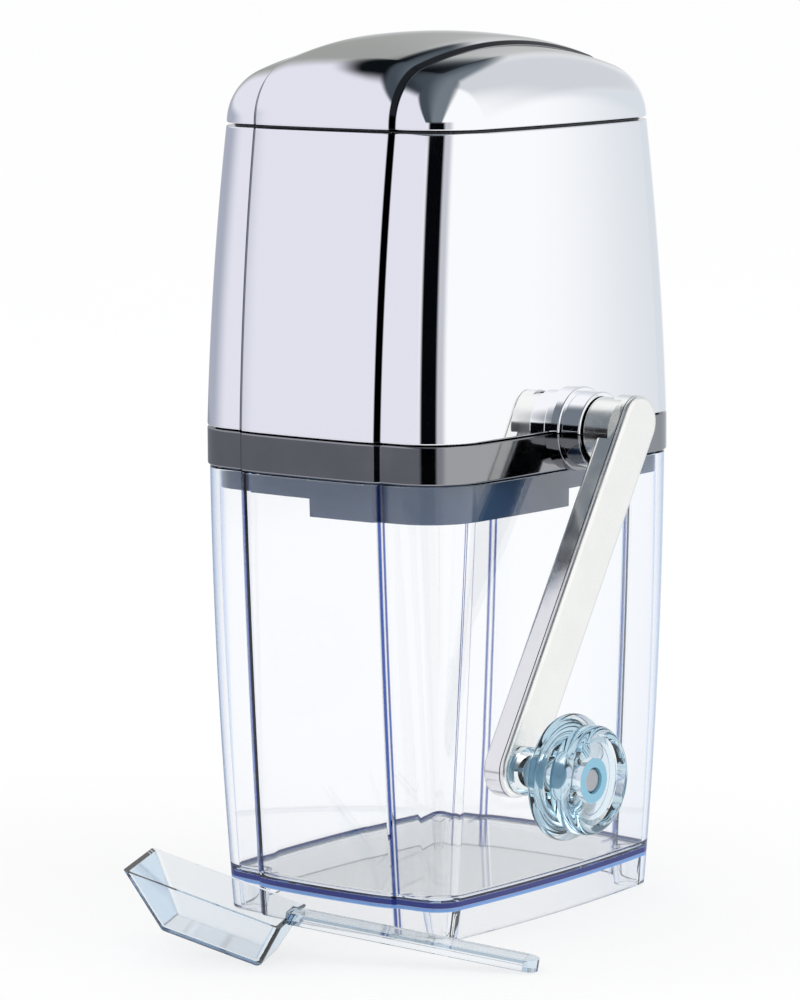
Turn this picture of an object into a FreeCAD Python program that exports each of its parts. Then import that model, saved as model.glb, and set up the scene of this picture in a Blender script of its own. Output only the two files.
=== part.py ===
"""Hand crank ice crusher, in millimetres.

+Z is up and the origin is the middle of the container's footprint. The crank turns about the X axis,
on the +X side. The front, where the scoop lies, faces -Y.

From the bottom: clear container, dark base frame with the crushing rotor in it, plated housing round a
funnel shaped hopper liner, and a domed lid.
"""
import FreeCAD, Part
import math
import os
from FreeCAD import Vector

# ------------------------------------------------------------------ heights of the stacked mouldings
container_height = 131.8
band_height = 11.4
housing_height = 86.8
lid_height = 26.0
seam_gap = 0.4                    # shadow line between one moulding and the next

# ------------------------------------------------------------------ plan of the body, outside
foot_half_width = 43.0
foot_half_depth = 54.2
foot_corner = 7.5
rim_half_width = 48.7
rim_half_depth = 61.4
container_swell = 0.8             # how far the container's sides bulge beyond straight ones
band_half_width = 49.4
band_half_depth = 61.6
body_corner = 18.0
mouth_half_width = 46.9           # at the seam between housing and lid
mouth_half_depth = 54.1
mouth_corner = 17.5
housing_width_swell = 0.2
housing_depth_swell = 1.2
face_bow = 2.9                    # each face is a shallow arc in plan, this far proud of its corners
lid_edge_radius = 16.5
lid_crown_radius = 160.0
lid_lean = 0.04                   # how much the lid's sides lean in, per millimetre of height
panel_half_width = 25.5           # raised panel that runs up the front, over the lid and down the back
panel_rise = 1.6
panel_slope = math.radians(45)    # slope of the panel's edge. The chamfers on the lid need 45 degrees
panel_cove = 2.0                  # radius of the hollow round at the foot of the slope
chamfer_spare = 0.6               # how far the lid's slope is cut on below its foot

# ------------------------------------------------------------------ container
container_wall = 2.6
floor_underside = 8.8
floor_thickness = 2.8
skirt_wall = 2.2
post_x = 34.5
post_y = 45.0
post_top_radius = 4.9
post_foot_radius = 3.8
post_wall = 1.3

# ------------------------------------------------------------------ base frame
frame_wall = 2.4
deck_thickness = 2.6
collar_clearance = 0.5
collar_wall = 2.0
collar_depth = 6.2
apron_depth = 11.4                # the collar is deeper round the front corner on the crank's side
throat_half_length = 29.0
throat_half_depth = 23.0
throat_wall = 2.4
throat_corner = 2.0
throat_bow = 0.3

# ------------------------------------------------------------------ housing and lid
housing_wall = 2.2
lid_wall = 2.2
lid_rim_depth = 5.0
lid_rim_wall = 1.8
lid_rim_clearance = 0.4
boss_radius = 12.2                # the boss round the crank's bush has a wide foot and a narrower nose
boss_reach = 2.6                  # how far each stands out of the band
nose_radius = 11.1
nose_reach = 9.1
screw_post_x = 36.0
screw_post_y = 46.0
screw_post_radius = 4.0
screw_post_height = 17.0

# ------------------------------------------------------------------ hopper liner
liner_wall = 2.0
liner_clearance = 0.4             # between the liner's rim and the housing
liner_rim_drop = 5.8              # the liner's rim lies this far below the lid's seam
liner_rim_height = 26.0
funnel_height = 30.0
funnel_step = 6.0                 # width of the shoulder where the funnel starts
ledge_height = 2.4                # rib inside the housing that the liner's shoulder rests on
ledge_width = 1.6

# ------------------------------------------------------------------ rotor
running_clearance = 0.05
seat_clearance = 0.1
journal_radius = 4.9
shaft_flats = 10.0
blade_count = 5
blade_pitch = 10.0
blade_thickness = 3.0
blade_radius = 19.5
blade_root_radius = 12.0
tooth_count = 6
tooth_lead = 7.0                  # degrees that a tooth's cutting face leans forward
tooth_land = 9.0                  # degrees of full radius at the tip
tooth_hollow = 0.22               # how far up the hollow back of a tooth its middle lies, 0 to 1
blade_stagger = 12.0              # degrees from one blade to the next
spacer_radius = 8.2
bush_radius = 8.0
bush_end_gap = 0.3
block_gap = 1.0                   # between the blocks that clamp a bush and the housing's wall
left_bush_length = 9.0
clip_groove_radius = 3.9
clip_thickness = 1.2
clip_radius = 7.2
clip_mouth_share = 0.75           # width of the clip's mouth against the groove it snaps into
drive_flats = 7.0
drive_setback = 0.4               # the square end stops this far below the arm's floor

# ------------------------------------------------------------------ fixed combs
comb_height = 6.0
comb_bar_depth = 4.5
comb_bar_seat = 1.5               # how deep the bar is let into the throat's wall
comb_finger_width = 3.0
comb_tip_height = 2.6
comb_tip_gap = 1.6                # from a finger's tip to the spacers

# ------------------------------------------------------------------ crank
hub_radius = 9.8
hub_length = 4.2
hub_gap = 0.5
crank_length = 104.7
crank_angle = 32.2                # degrees from hanging straight down, towards the front
arm_half_width = 7.9
arm_overhang = 3.2                # the arm's round end is centred this far beyond the shaft
arm_depth = 5.9
arm_wall = 1.8
arm_floor = 2.4
arm_back_round = 1.4
cover_gap = 0.3
cover_depth = 1.8
cover_lip = 1.3
cover_round = 1.4
screw_head_radius = 5.4
screw_head_height = 2.0
screw_slot_half_width = 0.6
screw_shank_radius = 1.9
screw_length = 9.0
tapped_spare = 2.5                # the tapped hole is this much deeper than the screw

# ------------------------------------------------------------------ knob
pin_radius = 2.6
pin_head_radius = 3.4
pin_head_height = 1.4
pin_rivet_radius = 4.4
pin_rivet_height = 1.4
pin_end_setback = 0.6             # the pin's end lies this far below the knob's recessed face
knob_gap = 0.5
knob_collar_radius = 6.8
knob_collar_length = 1.8
knob_neck_end = 3.6
knob_neck_radius = 5.0
knob_flare_hollow = 3.4           # how far the trumpet's curve lies inside a straight cone
knob_radius = 17.4
knob_front_radius = 15.2
knob_groove_radius = 13.4
knob_length = 25.6
knob_flange_start = 14.3
knob_groove_at = 18.7
knob_front_start = 20.7
knob_recess_radius = 12.4
knob_recess_depth = 1.6
knob_edge_round = 1.1
knob_front_round = 2.2
knob_hub_radius = 6.2
knob_hub_wall = 1.5
knob_bore_radius = 3.8

# ------------------------------------------------------------------ housing screws
frame_screw_shank = 1.5
frame_screw_head = 3.0
frame_screw_head_height = 1.8
frame_screw_length = 12.0
screw_hole_depth = 15.0           # from the deck's underside
deck_hole_clearance = 0.15

# ------------------------------------------------------------------ scoop
scoop_heel_x = 11.3               # the heel is the edge that the tipped scoop rests on
scoop_heel_y = -95.0
scoop_turn = 25.1                 # degrees, plan direction of the handle
scoop_tilt = 18.0                 # degrees, mouth up and handle down
scoop_bottom_length = 29.7
scoop_bottom_half_width = 9.5
scoop_rim_half_width = 15.6
scoop_depth = 14.5
scoop_front_overhang = 14.3
scoop_back_overhang = 3.4
scoop_wall = 1.5
scoop_edge_round = 1.8
scoop_handle_length = 72.0
scoop_handle_half_width = 4.0
scoop_handle_thickness = 3.4
scoop_handle_wall = 1.3
scoop_handle_lift = 9.3           # degrees above the plane of the rim

# ------------------------------------------------------------------ heights worked out from the above
parting_z = container_height + band_height
seam_z = parting_z + housing_height
top_z = seam_z + lid_height
floor_top_z = floor_underside + floor_thickness
throat_top_z = seam_z - liner_rim_drop - liner_rim_height - funnel_height
liner_rim_z = seam_z - liner_rim_drop
funnel_top_z = liner_rim_z - liner_rim_height

# The shaft lies in the parting plane between base frame and housing.
crank_z = parting_z

X_AXIS = Vector(1, 0, 0)
Y_AXIS = Vector(0, 1, 0)
Z_AXIS = Vector(0, 0, 1)
OVERSHOOT = 5.0                   # how far a cutting tool runs past what it cuts


# ================================================================== small helpers
def export(name, shape):
    """Write one node."""
    shape.exportStep(os.path.join("parts", name + ".step"))


def fuse(shapes):
    """One solid out of several that touch."""
    joined = shapes[0].fuse(shapes[1:])
    return joined.removeSplitter()


def wire_of(points_list):
    """A closed wire out of lines (two points) and arcs (three points)."""
    edges = []
    for points in points_list:
        if len(points) == 2:
            edges.append(Part.makeLine(*points))
        else:
            edges.append(Part.Arc(*points).toShape())
    return Part.Wire(edges)


def block(x_low, x_high, y_low, y_high, z_low, z_high):
    """A box between two corners."""
    corner = Vector(x_low, y_low, z_low)
    return Part.makeBox(x_high - x_low, y_high - y_low, z_high - z_low, corner)


def rod_x(radius, x_low, x_high, y=0.0, z=None):
    """A round bar along X."""
    height = crank_z if z is None else z
    return Part.makeCylinder(radius, x_high - x_low, Vector(x_low, y, height), X_AXIS)


def polygon_bar_x(sides, flats, x_low, x_high):
    """A bar along the crank's axis with the given number of flats."""
    corner_radius = flats / 2 / math.cos(math.pi / sides)
    points = []
    for corner in range(sides + 1):
        angle = 2 * math.pi * corner / sides
        y = corner_radius * math.sin(angle)
        z = crank_z + corner_radius * math.cos(angle)
        points.append(Vector(x_low, y, z))
    return Part.Face(Part.makePolygon(points)).extrude(Vector(x_high - x_low, 0, 0))


# ================================================================== plan outline of the body
def between(low, high, share):
    return low + (high - low) * share


def panel_foot(inset):
    """Half width of the raised panel at its foot. Both sides of a wall keep the same thickness there."""
    return panel_half_width - inset * math.tan(panel_slope / 2)


def cove_point(share):
    """Width and height from the panel's foot, part of the way round the hollow there."""
    turn = panel_slope * share
    return panel_cove * math.sin(turn), panel_cove * (1 - math.cos(turn))


def swollen_plan(low, high, share, width_swell, depth_swell):
    """Half width, half depth and corner radius, part of the way from one plan to the next."""
    bulge = 4 * share * (1 - share)
    half_width = between(low[0], high[0], share) + width_swell * bulge
    half_depth = between(low[1], high[1], share) + depth_swell * bulge
    return half_width, half_depth, between(low[2], high[2], share)


def container_plan(z):
    low = (foot_half_width, foot_half_depth, foot_corner)
    high = (rim_half_width, rim_half_depth, body_corner)
    return swollen_plan(low, high, z / container_height, container_swell, container_swell)


def housing_plan(z):
    low = (band_half_width, band_half_depth, body_corner)
    high = (mouth_half_width, mouth_half_depth, mouth_corner)
    share = (z - parting_z) / housing_height
    return swollen_plan(low, high, share, housing_width_swell, housing_depth_swell)


def band_plan(z):
    """The band's sides are upright, so the height doesn't matter."""
    return band_half_width, band_half_depth, body_corner


def quadrant(plan, z, inset, bow, rise):
    """Outline of one quarter of the body, from the side face to the middle of the end face.

    The faces are shallow arcs, the corner an arc that is tangent to both, and the end face carries
    half of the raised panel with its sloped edge. Returns the point lists and the two face middles.
    """
    half_width, half_depth, corner = plan
    side_chord = half_depth - bow
    end_chord = half_width - bow
    side_radius = (side_chord ** 2 + bow ** 2) / (2 * bow)
    end_radius = (end_chord ** 2 + bow ** 2) / (2 * bow)
    side_centre = Vector(half_width - side_radius, 0, z)
    end_centre = Vector(0, half_depth - end_radius, z)
    to_end = end_centre - side_centre
    distance = to_end.Length
    reach = ((side_radius - corner) ** 2 - (end_radius - corner) ** 2 + distance ** 2) / (2 * distance)
    offset = math.sqrt((side_radius - corner) ** 2 - reach ** 2)
    along = to_end / distance
    across = Vector(-along.y, along.x, 0)
    if across.x + across.y < 0:
        across = across * -1
    corner_centre = side_centre + along * reach + across * offset

    corner_start = side_centre + (corner_centre - side_centre).normalize() * (side_radius - inset)
    corner_end = end_centre + (corner_centre - end_centre).normalize() * (end_radius - inset)
    outward = ((corner_start + corner_end) / 2 - corner_centre).normalize()
    corner_middle = corner_centre + outward * (corner - inset)
    side_middle = Vector(half_width - inset, 0, z)

    def on_end(x, raised):
        radius = end_radius - inset + raised
        return Vector(x, end_centre.y + math.sqrt(radius ** 2 - x ** 2), z)

    lines = [[corner_start, corner_middle, corner_end]]
    if rise:
        foot_x = panel_foot(inset)
        middle_width, middle_height = cove_point(0.5)
        cove_width, cove_height = cove_point(1)
        cove_end = on_end(foot_x - cove_width, cove_height)
        top_x = cove_end.x - (rise - cove_height) / math.tan(panel_slope)
        lines.append([corner_end, on_end((corner_end.x + foot_x) / 2, 0), on_end(foot_x, 0)])
        lines.append([on_end(foot_x, 0), on_end(foot_x - middle_width, middle_height), cove_end])
        lines.append([cove_end, on_end(top_x, rise)])
    return lines, side_middle, on_end(0, rise)


def outline(plan, z, inset=0.0, bow=face_bow, rise=panel_rise):
    """The whole plan outline at one height, drawn once round."""
    lines, side_middle, end_middle = quadrant(plan, z, inset, bow, rise)
    drawn = []
    for mirror_x, mirror_y, backwards in ((1, 1, False), (-1, 1, True), (-1, -1, False), (1, -1, True)):
        quarter = [[Vector(p.x * mirror_x, p.y * mirror_y, p.z) for p in line] for line in lines]
        if backwards:
            quarter = [line[::-1] for line in quarter[::-1]]
        drawn.extend(quarter)
        last = quarter[-1][-1]
        if backwards:
            middle = Vector(side_middle.x * mirror_x, 0, z)
            drawn.append([last, middle, Vector(last.x, -last.y, z)])
        else:
            middle = Vector(0, end_middle.y * mirror_y, z)
            drawn.append([last, middle, Vector(-last.x, last.y, z)])
    return wire_of(drawn)


def body_solid(plan_at, z_low, z_high, inset=0.0, rise=panel_rise):
    """A solid stretch of the body between two heights, with the sides' slow swell."""
    heights = (z_low, (z_low + z_high) / 2, z_high)
    return Part.makeLoft([outline(plan_at(z), z, inset, face_bow, rise) for z in heights], True, False)


def throat_outline(z, grow):
    """The nearly square-cornered outline of the crushing chamber, grown by a wall."""
    plan = (throat_half_length + grow, throat_half_depth + grow, throat_corner + grow)
    return outline(plan, z, 0.0, throat_bow, 0.0)


def throat_solid(z_low, z_high, grow=0.0):
    return Part.makeLoft([throat_outline(z_low, grow), throat_outline(z_high, grow)], True, True)


# ================================================================== container
def make_container():
    shell = body_solid(container_plan, 0, container_height - seam_gap)
    top = container_height + OVERSHOOT
    cavity = body_solid(container_plan, floor_top_z, top, container_wall)
    recess = body_solid(container_plan, -OVERSHOOT, floor_underside, skirt_wall)
    shell = shell.cut(cavity).cut(recess)
    posts = []
    for x in (-post_x, post_x):
        for y in (-post_y, post_y):
            post = Part.makeCone(post_foot_radius, post_top_radius, floor_underside, Vector(x, y, 0), Z_AXIS)
            core = Part.makeCone(post_foot_radius - post_wall, post_top_radius - post_wall,
                                 floor_underside, Vector(x, y, 0), Z_AXIS)
            posts.append(post.cut(core))
    return fuse([shell] + posts)


# ================================================================== base frame
def collar_solid(z_low, inset):
    """What the collar's outside or inside fills, below the deck."""
    return body_solid(container_plan, z_low, container_height, inset)


def make_base_frame():
    outside = collar_clearance + container_wall
    inside = outside + collar_wall
    deck_top = container_height + deck_thickness
    band = body_solid(band_plan, container_height, parting_z - seam_gap)
    tray = body_solid(band_plan, deck_top, parting_z + OVERSHOOT, frame_wall)
    collar = collar_solid(container_height - collar_depth, outside)
    collar = collar.cut(collar_solid(container_height - collar_depth - OVERSHOOT, inside))
    apron = collar_solid(container_height - apron_depth, outside)
    apron = apron.cut(collar_solid(container_height - apron_depth - OVERSHOOT, inside))
    quarter = block(0, rim_half_width, -rim_half_depth - panel_rise, 0,
                    container_height - apron_depth, container_height)
    throat = throat_solid(container_height, parting_z, throat_wall)
    frame = fuse([band.cut(tray), half_boss(False), collar, apron.common(quarter), throat,
                  bush_blocks(False)])
    cutters = [throat_solid(container_height - OVERSHOOT, parting_z + OVERSHOOT), bush_tunnel()]
    cutters += comb_bars(seat_clearance)
    cutters += [screw_hole(x, y) for x, y in screw_places()]
    return frame.cut(cutters)


def bush_blocks(upper):
    """The blocks either side of the chamber that clamp the bushes, above or below the parting plane."""
    reach = bush_radius + throat_wall
    start = throat_half_length + throat_wall / 2
    blocks = []
    for side in (-1, 1):
        x_low, x_high = sorted((side * start, side * bush_seat_end(side, upper)))
        if upper:
            blocks.append(block(x_low, x_high, -reach, reach, parting_z, parting_z + reach))
        else:
            blocks.append(block(x_low, x_high, -reach, reach, container_height, parting_z))
    return blocks[0].fuse(blocks[1])


def bush_seat_end(side, upper):
    """How far out each bush is held. The upper blocks stop short of the housing's wall."""
    if side < 0:
        return throat_half_length + throat_wall + left_bush_length
    if upper:
        return band_half_width - housing_wall - block_gap
    return band_half_width - frame_wall / 2


def bush_tunnel():
    """The bore that the bushes lie in, with the shaft's way through the chamber's wall."""
    right_end = band_half_width + nose_reach + OVERSHOOT
    start = throat_half_length - OVERSHOOT
    right = rod_x(bush_radius + seat_clearance, start, right_end)
    left = rod_x(bush_radius + seat_clearance, -bush_seat_end(-1, True) - block_gap, -start)
    return right.fuse(left)


def half_boss(upper):
    """Half of the round boss on the crank's side: the housing has the upper half, the frame the lower."""
    start = band_half_width - frame_wall / 2
    end = band_half_width + nose_reach
    boss = rod_x(boss_radius, start, band_half_width + boss_reach).fuse(rod_x(nose_radius, start, end))
    if upper:
        keep = block(start, end, -boss_radius, boss_radius, parting_z, parting_z + boss_radius)
    else:
        keep = block(start, end, -boss_radius, boss_radius, container_height, parting_z - seam_gap)
        keep = keep.fuse(block(rim_half_width + seam_gap, end, -boss_radius, boss_radius,
                               parting_z - boss_radius, container_height))
    return boss.common(keep)


def screw_places():
    return [(x, y) for x in (-screw_post_x, screw_post_x) for y in (-screw_post_y, screw_post_y)]


def screw_hole(x, y):
    """Clearance hole through the deck."""
    radius = frame_screw_shank + deck_hole_clearance
    foot = Vector(x, y, container_height - OVERSHOOT)
    return Part.makeCylinder(radius, deck_thickness + 2 * OVERSHOOT, foot)


# ================================================================== housing
def make_upper_housing():
    top = seam_z - seam_gap
    shell = body_solid(housing_plan, parting_z, top)
    cavity = body_solid(housing_plan, parting_z - OVERSHOOT, top + OVERSHOOT, housing_wall)
    shell = shell.cut(cavity)
    ledge_top = funnel_top_z
    ledge = body_solid(housing_plan, ledge_top - ledge_height, ledge_top, housing_wall / 2)
    ledge = ledge.cut(body_solid(housing_plan, ledge_top - ledge_height - OVERSHOOT,
                                 ledge_top + OVERSHOOT, housing_wall + ledge_width))
    pieces = [shell, ledge, half_boss(True)]
    for x, y in screw_places():
        pieces.append(screw_post(x, y))
    housing = fuse(pieces)
    cutters = [bush_tunnel()]
    for x, y in screw_places():
        foot = Vector(x, y, container_height)
        cutters.append(Part.makeCylinder(frame_screw_shank + running_clearance, screw_hole_depth, foot))
    return housing.cut(cutters)


def screw_post(x, y):
    """A round post for one screw, with a web to the side wall. It starts on the frame's deck."""
    foot_z = container_height + deck_thickness
    height = parting_z + screw_post_height - foot_z
    post = Part.makeCylinder(screw_post_radius, height, Vector(x, y, foot_z))
    outer_x = math.copysign(band_half_width - housing_wall / 2, x)
    x_low, x_high = sorted((x, outer_x))
    half_web = housing_wall / 2
    web = block(x_low, x_high, y - half_web, y + half_web, parting_z, parting_z + screw_post_height)
    inside = body_solid(housing_plan, parting_z, seam_z, housing_wall / 2)
    return post.fuse(web.common(inside))


# ================================================================== lid
def dome(inset, rise):
    """Solid dome above the seam: upright sides, a large rounded edge and a gentle crown."""
    half_width, half_depth, corner = housing_plan(seam_z)
    height = lid_height + OVERSHOOT
    lean = lid_lean * height
    foot = (half_width, half_depth + rise, corner)
    head = (half_width - lean, half_depth + rise - lean, corner)
    sides = Part.makeLoft([outline(foot, seam_z, inset, face_bow, 0),
                           outline(head, seam_z + height, inset, face_bow, 0)], True, True)
    crown_z = top_z - panel_rise + rise - inset - lid_crown_radius
    centre = Vector(0, 0, crown_z)
    crown = Part.makeSphere(lid_crown_radius, centre, X_AXIS)
    crown.rotate(centre, X_AXIS, 180)     # the ball's own seam goes underneath
    solid = sides.common(crown)
    upper_edges = [edge for edge in solid.Edges if edge.BoundBox.ZMin > seam_z + lid_height / 3]
    return solid.makeFillet(lid_edge_radius - inset, upper_edges)


def panelled_dome(inset):
    """The dome with the raised panel running over it.

    The slope is cut deeper than the panel is high, so that it meets the dome at a clear angle, and the
    hollow round is run along that edge.
    """
    foot_edge = panel_foot(inset) - panel_cove * math.tan(panel_slope / 2)
    cut_depth = panel_rise + chamfer_spare
    half = foot_edge - panel_rise / math.tan(panel_slope) + cut_depth
    depth = mouth_half_depth + OVERSHOOT
    slab = block(-half, half, -depth, depth, seam_z, top_z + OVERSHOOT)
    panel = dome(inset, panel_rise).common(slab)
    rims = [edge for edge in edges_beside(panel, half) if edge.BoundBox.ZMax > seam_z + panel_rise]
    joined = fuse([dome(inset, 0), panel.makeChamfer(cut_depth, rims)])
    feet = [edge for edge in edges_beside(joined, foot_edge) if edge.BoundBox.YLength > panel_rise / 3]
    return joined.makeFillet(panel_cove, feet)


def edges_beside(shape, half_width):
    """The edges that run in a plane, or nearly so, this far to the left or right of the middle."""
    near = panel_rise / 3
    return [edge for edge in shape.Edges
            if edge.BoundBox.XLength < near and abs(abs(edge.CenterOfMass.x) - half_width) < near]


def make_lid():
    """The plated dome, open below, with the rim inside it that drops into the housing."""
    shell = panelled_dome(0).cut(panelled_dome(lid_wall))
    inset = housing_wall + lid_rim_clearance
    upper = body_solid(housing_plan, seam_z, seam_z + lid_rim_depth, lid_wall / 2, 0)
    lower = body_solid(housing_plan, seam_z - lid_rim_depth, seam_z, inset, 0)
    inside = body_solid(housing_plan, seam_z - lid_rim_depth - OVERSHOOT,
                        seam_z + lid_rim_depth + OVERSHOOT, inset + lid_rim_wall, 0)
    return fuse([shell, upper.cut(inside), lower.cut(inside)])


# ================================================================== hopper liner
def liner_inset():
    return housing_wall + liner_clearance


def make_hopper_liner():
    """Upright rim, shoulder on the housing's ledge, funnel, and the upper half of the chamber."""
    outer_inset = liner_inset()
    inner_inset = outer_inset + liner_wall
    shoulder_z = funnel_top_z + liner_wall
    rim = body_solid(housing_plan, funnel_top_z, liner_rim_z, outer_inset, 0)
    rim_inside = body_solid(housing_plan, shoulder_z, liner_rim_z + OVERSHOOT, inner_inset, 0)
    plan = housing_plan(funnel_top_z)
    funnel = Part.makeLoft([outline(plan, funnel_top_z, outer_inset + funnel_step, face_bow, 0),
                            throat_outline(throat_top_z, throat_wall)], True, True)
    funnel_inside = Part.makeLoft([outline(plan, shoulder_z, inner_inset + funnel_step, face_bow, 0),
                                   throat_outline(throat_top_z, 0)], True, True)
    chamber = throat_solid(parting_z, throat_top_z, throat_wall)
    liner = fuse([rim, funnel, chamber, bush_blocks(True)])
    liner = liner.cut([rim_inside, funnel_inside, throat_solid(parting_z - OVERSHOOT, throat_top_z)])
    return liner.cut([bush_tunnel()] + comb_bars(seat_clearance))


# ================================================================== fixed combs
def comb_bars(grow):
    """The straight bars of both combs, half in the chamber's walls."""
    half_length = throat_half_length - throat_corner + grow
    inner = throat_half_depth - comb_bar_depth + comb_bar_seat - grow
    outer = throat_half_depth + comb_bar_seat + grow
    half_height = comb_height / 2 + grow
    front = block(-half_length, half_length, -outer, -inner, crank_z - half_height, crank_z + half_height)
    back = block(-half_length, half_length, inner, outer, crank_z - half_height, crank_z + half_height)
    return [front, back]


def make_comb(side):
    """One fixed comb: a bar with tapered fingers that reach between the rotor's blades."""
    bar = comb_bars(0)[0 if side < 0 else 1]
    root_y = side * (throat_half_depth - comb_bar_depth / 2)
    tip_y = side * (spacer_radius + comb_tip_gap)
    half_root = comb_height / 2
    half_tip = comb_tip_height / 2
    fingers = []
    for gap in range(blade_count + 1):
        x = (gap - blade_count / 2) * blade_pitch - comb_finger_width / 2
        corners = [(root_y, -half_root), (tip_y, -half_tip), (tip_y, half_tip), (root_y, half_root)]
        points = [Vector(x, y, crank_z + z) for y, z in corners]
        points.append(points[0])
        fingers.append(Part.Face(Part.makePolygon(points)).extrude(Vector(comb_finger_width, 0, 0)))
    return fuse([bar] + fingers)


# ================================================================== rotor
def blade_places():
    first = -(blade_count - 1) / 2 * blade_pitch
    return [first + number * blade_pitch for number in range(blade_count)]


def make_rotor_blade(number):
    """A star of hooked teeth on the hexagonal shaft, turned a little further than its neighbour."""
    x = blade_places()[number] - blade_thickness / 2
    tooth_angle = 360 / tooth_count

    def rim(radius, degrees):
        angle = math.radians(degrees)
        return Vector(x, radius * math.sin(angle), crank_z + radius * math.cos(angle))

    lines = []
    for tooth in range(tooth_count):
        start = tooth * tooth_angle
        tip_start = start + tooth_lead
        tip_end = tip_start + tooth_land
        back = (tip_end + start + tooth_angle) / 2
        back_radius = between(blade_root_radius, blade_radius, tooth_hollow)
        lines.append([rim(blade_root_radius, start), rim(blade_radius, tip_start)])
        lines.append([rim(blade_radius, tip_start), rim(blade_radius, (tip_start + tip_end) / 2),
                      rim(blade_radius, tip_end)])
        lines.append([rim(blade_radius, tip_end), rim(back_radius, back),
                      rim(blade_root_radius, start + tooth_angle)])
    blade = Part.Face(wire_of(lines)).extrude(Vector(blade_thickness, 0, 0))
    blade.rotate(Vector(0, 0, crank_z), X_AXIS, number * blade_stagger)
    return blade.cut(shaft_hole())


def shaft_hole():
    """The hexagonal hole that blades and spacers slide onto the shaft by."""
    return polygon_bar_x(6, shaft_flats + 2 * running_clearance, -band_half_width, band_half_width)


def make_rotor_spacers():
    """Sleeves that keep the blades apart, and one at each end against the bushes."""
    half_blade = blade_thickness / 2
    end = throat_half_length - bush_end_gap
    edges = [-end]
    for place in blade_places():
        edges += [place - half_blade, place + half_blade]
    edges.append(end)
    hole = shaft_hole()
    sleeves = []
    for start, end in zip(edges[0::2], edges[1::2]):
        sleeves.append(rod_x(spacer_radius, start, end).cut(hole))
    return Part.makeCompound(sleeves)


def left_bush_end():
    return -(throat_half_length + throat_wall + left_bush_length)


def clip_x():
    """The inner face of the retaining clip, just outside the left bush."""
    return left_bush_end() - bush_end_gap


def hub_x():
    return band_half_width + nose_reach + hub_gap


def arm_back_x():
    return hub_x() + hub_length


def arm_floor_x():
    return arm_back_x() + arm_floor


def cover_x():
    return arm_back_x() + arm_depth + cover_gap


def knob_x():
    return cover_x() + cover_depth + knob_gap


def make_rotor_shaft():
    """Hexagon inside the chamber, a round journal each side and a square end for the crank."""
    clip_outer = clip_x() - clip_thickness
    left_end = clip_outer - clip_thickness
    hexagon_end = throat_half_length - bush_end_gap
    hexagon = polygon_bar_x(6, shaft_flats, -hexagon_end, hexagon_end)
    left = rod_x(journal_radius, left_end, -hexagon_end)
    right = rod_x(journal_radius, hexagon_end, hub_x() - running_clearance)
    drive = polygon_bar_x(4, drive_flats, hub_x() - running_clearance, arm_floor_x() - drive_setback)
    groove = rod_x(journal_radius + OVERSHOOT, clip_outer, clip_x())
    groove = groove.cut(rod_x(clip_groove_radius, clip_outer, clip_x()))
    tapped_end = arm_floor_x() - screw_length - tapped_spare
    tapped = rod_x(screw_shank_radius + seat_clearance, tapped_end, arm_floor_x())
    return fuse([hexagon, left, right, drive]).cut([groove, tapped])


def make_retaining_clip():
    """A spring steel clip, open on one side, in the shaft's groove."""
    low = clip_x() - clip_thickness + running_clearance
    high = clip_x() - running_clearance
    clip = rod_x(clip_radius, low, high).cut(rod_x(clip_groove_radius + running_clearance, low, high))
    mouth = clip_groove_radius * clip_mouth_share
    return clip.cut(block(low, high, -mouth, mouth, crank_z, crank_z + clip_radius + OVERSHOOT))


def make_left_bush():
    bush = rod_x(bush_radius, left_bush_end(), -throat_half_length - bush_end_gap)
    return bush.cut(rod_x(journal_radius + running_clearance, left_bush_end(), -throat_half_length))


def make_right_bush():
    """The long bush on the crank's side, flush with the end of the boss."""
    start = throat_half_length + bush_end_gap
    end = band_half_width + nose_reach
    return rod_x(bush_radius, start, end).cut(rod_x(journal_radius + running_clearance, start, end))


# ================================================================== crank
def knob_centre():
    angle = math.radians(crank_angle)
    return -crank_length * math.sin(angle), crank_z - crank_length * math.cos(angle)


def arm_bar(half_width, x_low, x_high):
    """A bar with round ends, from just beyond the shaft to the knob's axis."""
    knob_y, knob_z = knob_centre()
    angle = math.radians(crank_angle)
    along = Vector(0, -math.sin(angle), -math.cos(angle))
    across = Vector(0, math.cos(angle), -math.sin(angle)) * half_width
    near = Vector(x_low, 0, crank_z) - along * arm_overhang
    far = Vector(x_low, knob_y, knob_z)
    near_end = [near - across, near - along * half_width, near + across]
    far_end = [far + across, far + along * half_width, far - across]
    sides = [[near_end[2], far_end[0]], [far_end[2], near_end[0]]]
    section = Part.Face(wire_of([near_end, sides[0], far_end, sides[1]]))
    return section.extrude(Vector(x_high - x_low, 0, 0))


def edges_at_x(shape, x):
    """The edges that lie in one plane across X."""
    near = running_clearance
    return [edge for edge in shape.Edges
            if abs(edge.BoundBox.XMin - x) < near and abs(edge.BoundBox.XMax - x) < near]


def make_crank_arm():
    """A channel with a floor and side walls, open to the cover, and the hub on its back."""
    back = arm_back_x()
    bar = arm_bar(arm_half_width, back, back + arm_depth)
    bar = bar.makeFillet(arm_back_round, edges_at_x(bar, back))
    channel = arm_bar(arm_half_width - arm_wall, arm_floor_x(), back + arm_depth)
    hub = rod_x(hub_radius, hub_x(), back + hub_length)
    square = polygon_bar_x(4, drive_flats + 2 * seat_clearance, hub_x(), arm_floor_x())
    knob_y, knob_z = knob_centre()
    pin_hole = rod_x(pin_radius + seat_clearance, back, arm_floor_x(), knob_y, knob_z)
    return fuse([bar.cut(channel), hub]).cut([channel, square, pin_hole])


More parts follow.
